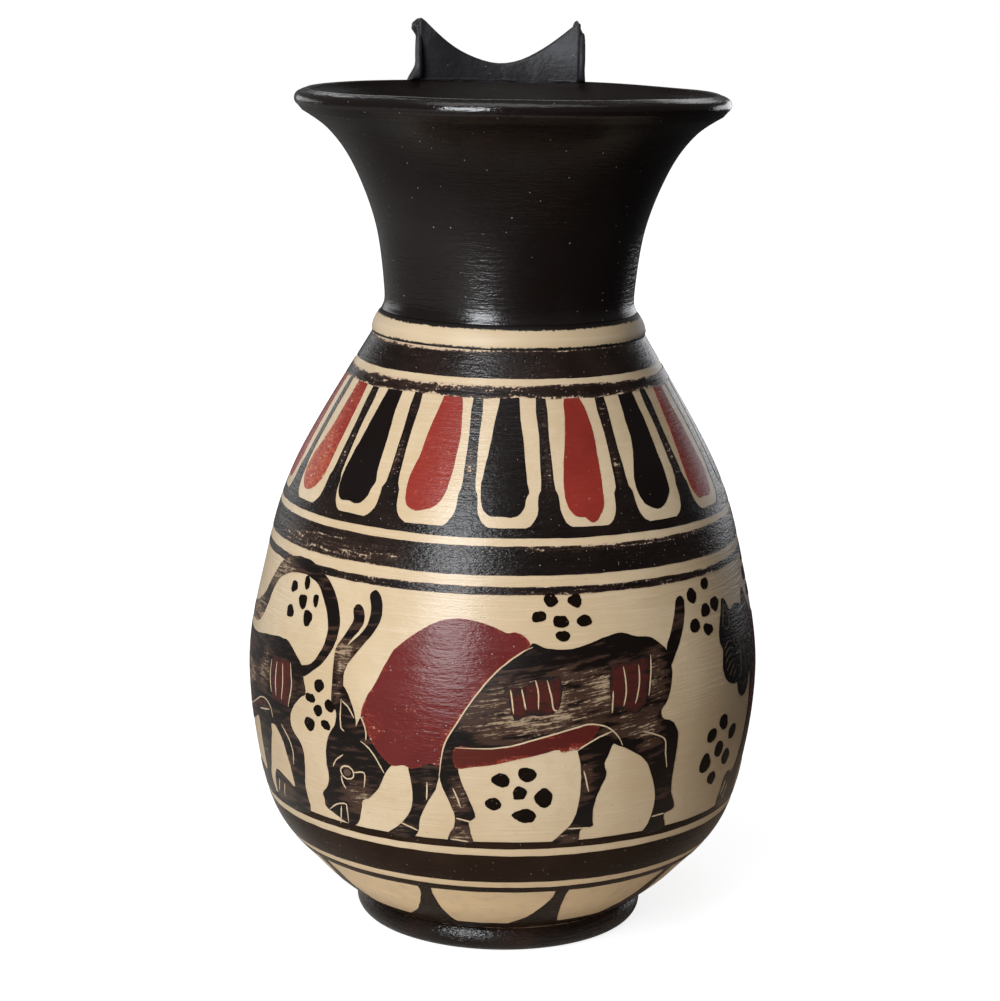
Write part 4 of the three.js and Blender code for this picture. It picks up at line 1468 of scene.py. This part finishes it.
# Rosettes on the side that the photograph doesn't show: their middles
FAR_ROSETTES = [
    (-156, 99), (-131, 98), (-138, 50), (99, 101), (128, 99), (152, 98), (110, 50), (212, 97), (211, 72),
    (210, 51), (-200, 98), (-201, 74), (-199, 52), (190, 66),
]
ROSETTE_MIDDLE = (4.4, 4.2)
ROSETTE_PETAL = (4.3, 3.9)
ROSETTE_REACH = 6.1
PETAL_COUNT = 6


def paint_dots():
    skin = bmesh.new()
    for number, (walked, height, width, tall) in enumerate(DOTS):
        blot(skin, (walked, height), width, tall, number)
    for number, (walked, height) in enumerate(FAR_ROSETTES):
        blot(skin, (walked, height), *ROSETTE_MIDDLE, 50 + number)
        for petal in range(PETAL_COUNT):
            angle = FULL_TURN * petal / PETAL_COUNT + number
            reach = ROSETTE_REACH + 0.8 * wave(number * 2.7, petal * 1.3, 0)
            place = (walked + reach * math.cos(angle), height + reach * 0.92 * math.sin(angle))
            blot(skin, place, *ROSETTE_PETAL, 60 + number * 7 + petal)
    lay_skin("dots", skin, dot_slip, FIGURE_COAT, base_thin=0.02)


paint_bull()
paint_panthers()
paint_dots()


# Floor, light and camera

# The floor looks white, and its own colours are what the glossy slip mirrors: near the foot and far
# off, on the left and on the right
NEAR_LEFT = (0.70, 0.65, 0.59, 1)
NEAR_RIGHT = (0.52, 0.41, 0.30, 1)
FAR_LEFT = (0.4, 0.385, 0.37, 1)
FAR_RIGHT = (0.03, 0.03, 0.03, 1)
UNDER_GLOW = (0.40, 0.40, 0.40, 1)
WHITE = (1, 1, 1, 1)


def make_floor():
    mesh = bpy.data.meshes.new("floor")
    bm = bmesh.new()
    bmesh.ops.create_grid(bm, x_segments=1, y_segments=1, size=4)
    bm.to_mesh(mesh)
    bm.free()
    floor = bpy.data.objects.new("floor", mesh)
    bpy.context.scene.collection.objects.link(floor)
    material, tree, shader = new_material("pale_floor", 0.1)
    shader.inputs["Roughness"].default_value = 0.9
    seen = add(tree, "ShaderNodeLightPath").outputs["Is Camera Ray"]
    side = object_level(tree, "X")
    away = add(tree, "ShaderNodeVectorMath", {0: object_place(tree)}, operation="LENGTH").outputs["Value"]
    far_sheet = blended(tree, step_between(tree, side, -0.5, 0.15), FAR_LEFT, FAR_RIGHT)
    near_sheet = blended(tree, step_between(tree, side, -0.03, 0.12), NEAR_LEFT, NEAR_RIGHT)
    sheet = blended(tree, step_between(tree, away, 0.10, 0.24), near_sheet, far_sheet)
    fill_sockets(tree, shader, {"Base Color": blended(tree, seen, sheet, UNDER_GLOW)})
    paleness = add(tree, "ShaderNodeMapRange", {0: away, 1: 0.10, 2: 0.45, 3: 0.84, 4: 1.0}).outputs[0]
    glow = add(tree, "ShaderNodeEmission", {"Color": WHITE, "Strength": times(tree, seen, paleness)})
    total = add(tree, "ShaderNodeAddShader", {0: shader.outputs[0], 1: glow.outputs[0]})
    tree.links.new(total.outputs[0], tree.nodes["Material Output"].inputs["Surface"])
    mesh.materials.append(material)


def soft_light(name, azimuth, elevation, distance, width, height, power, tint=(1, 1, 1)):
    data = bpy.data.lights.new(name, "AREA")
    data.color = tint
    data.shape = "RECTANGLE"
    data.size = width
    data.size_y = height
    data.energy = power
    lamp = bpy.data.objects.new(name, data)
    bpy.context.scene.collection.objects.link(lamp)
    around = math.radians(azimuth)
    up = math.radians(elevation)
    way = Vector((math.sin(around) * math.cos(up), -math.cos(around) * math.cos(up), math.sin(up)))
    lamp.location = Vector((0, 0, LIT_HEIGHT)) + way * distance
    lamp.rotation_euler = (-way).to_track_quat("-Z", "Y").to_euler()


# The middle of the pot, which the lamps are aimed at, and the light all round on the left and right
LIT_HEIGHT = 0.11
DIM_LEFT = 0.13
DIM_RIGHT = 0.065


def make_light():
    world = bpy.data.worlds.new("studio")
    bpy.context.scene.world = world
    world.use_nodes = True
    tree = world.node_tree
    way = add(tree, "ShaderNodeTexCoord").outputs["Generated"]
    side = add(tree, "ShaderNodeSeparateXYZ", {"Vector": way}).outputs["X"]
    level = add(tree, "ShaderNodeMapRange", {0: side, 1: -1.0, 2: 1.0, 3: DIM_LEFT, 4: DIM_RIGHT})
    plain = tree.nodes["Background"]
    fill_sockets(tree, plain, {"Color": WHITE, "Strength": level.outputs[0]})
    white = add(tree, "ShaderNodeBackground", {"Color": WHITE, "Strength": 1.0})
    seen = add(tree, "ShaderNodeLightPath").outputs["Is Camera Ray"]
    both = add(tree, "ShaderNodeMixShader", {0: seen, 1: plain.outputs[0], 2: white.outputs[0]})
    tree.links.new(both.outputs[0], tree.nodes["World Output"].inputs["Surface"])
    soft_light(
        "window_light", azimuth=-29, elevation=20, distance=1.3, width=0.46, height=1.0, power=22,
        tint=(0.93, 0.965, 1.0),
    )
    soft_light("ceiling_light", azimuth=-25, elevation=84, distance=1.6, width=1.2, height=1.5, power=10)
    soft_light("back_light", azimuth=172, elevation=30, distance=1.8, width=1.2, height=0.5, power=2.5)
    soft_light("left_wall", azimuth=-142, elevation=6, distance=1.7, width=1.2, height=0.45, power=1.7)
    soft_light(
        "right_wall", azimuth=143, elevation=4, distance=1.7, width=1.2, height=0.48, power=3.0,
        tint=(0.96, 0.97, 1.0),
    )


# Camera: where the photograph was taken from, worked out from the outline and the bands
CAMERA_BACK = 747.25
CAMERA_HEIGHT = 269.64
CAMERA_YAW = -0.0020344
CAMERA_PITCH = 0.1992297
CAMERA_ROLL = 0.0185037
CAMERA_ROUND = math.radians(-4.6)
CAMERA_LENS = 97.81


def make_camera():
    data = bpy.data.cameras.new("camera")
    data.lens = CAMERA_LENS
    data.sensor_width = 36
    data.sensor_fit = "AUTO"
    camera = bpy.data.objects.new("camera", data)
    bpy.context.scene.collection.objects.link(camera)
    cos_yaw = math.cos(CAMERA_YAW)
    sin_yaw = math.sin(CAMERA_YAW)
    cos_pitch = math.cos(CAMERA_PITCH)
    sin_pitch = math.sin(CAMERA_PITCH)
    right = Vector((cos_yaw, -sin_yaw, 0))
    forward = Vector((cos_pitch * sin_yaw, cos_pitch * cos_yaw, -sin_pitch))
    up = Vector((sin_pitch * sin_yaw, sin_pitch * cos_yaw, cos_pitch))
    across = right * math.cos(CAMERA_ROLL) + up * math.sin(CAMERA_ROLL)
    upward = up * math.cos(CAMERA_ROLL) - right * math.sin(CAMERA_ROLL)
    turn = Matrix.Rotation(CAMERA_ROUND, 4, "Z")
    axes = Matrix((across, upward, -forward)).transposed().to_4x4()
    place = Matrix.Translation(Vector((0, -CAMERA_BACK, CAMERA_HEIGHT)) * MM)
    camera.matrix_world = turn @ place @ axes
    bpy.context.scene.camera = camera


make_floor()
make_light()
make_camera()
bpy.context.scene.view_settings.view_transform = "Standard"
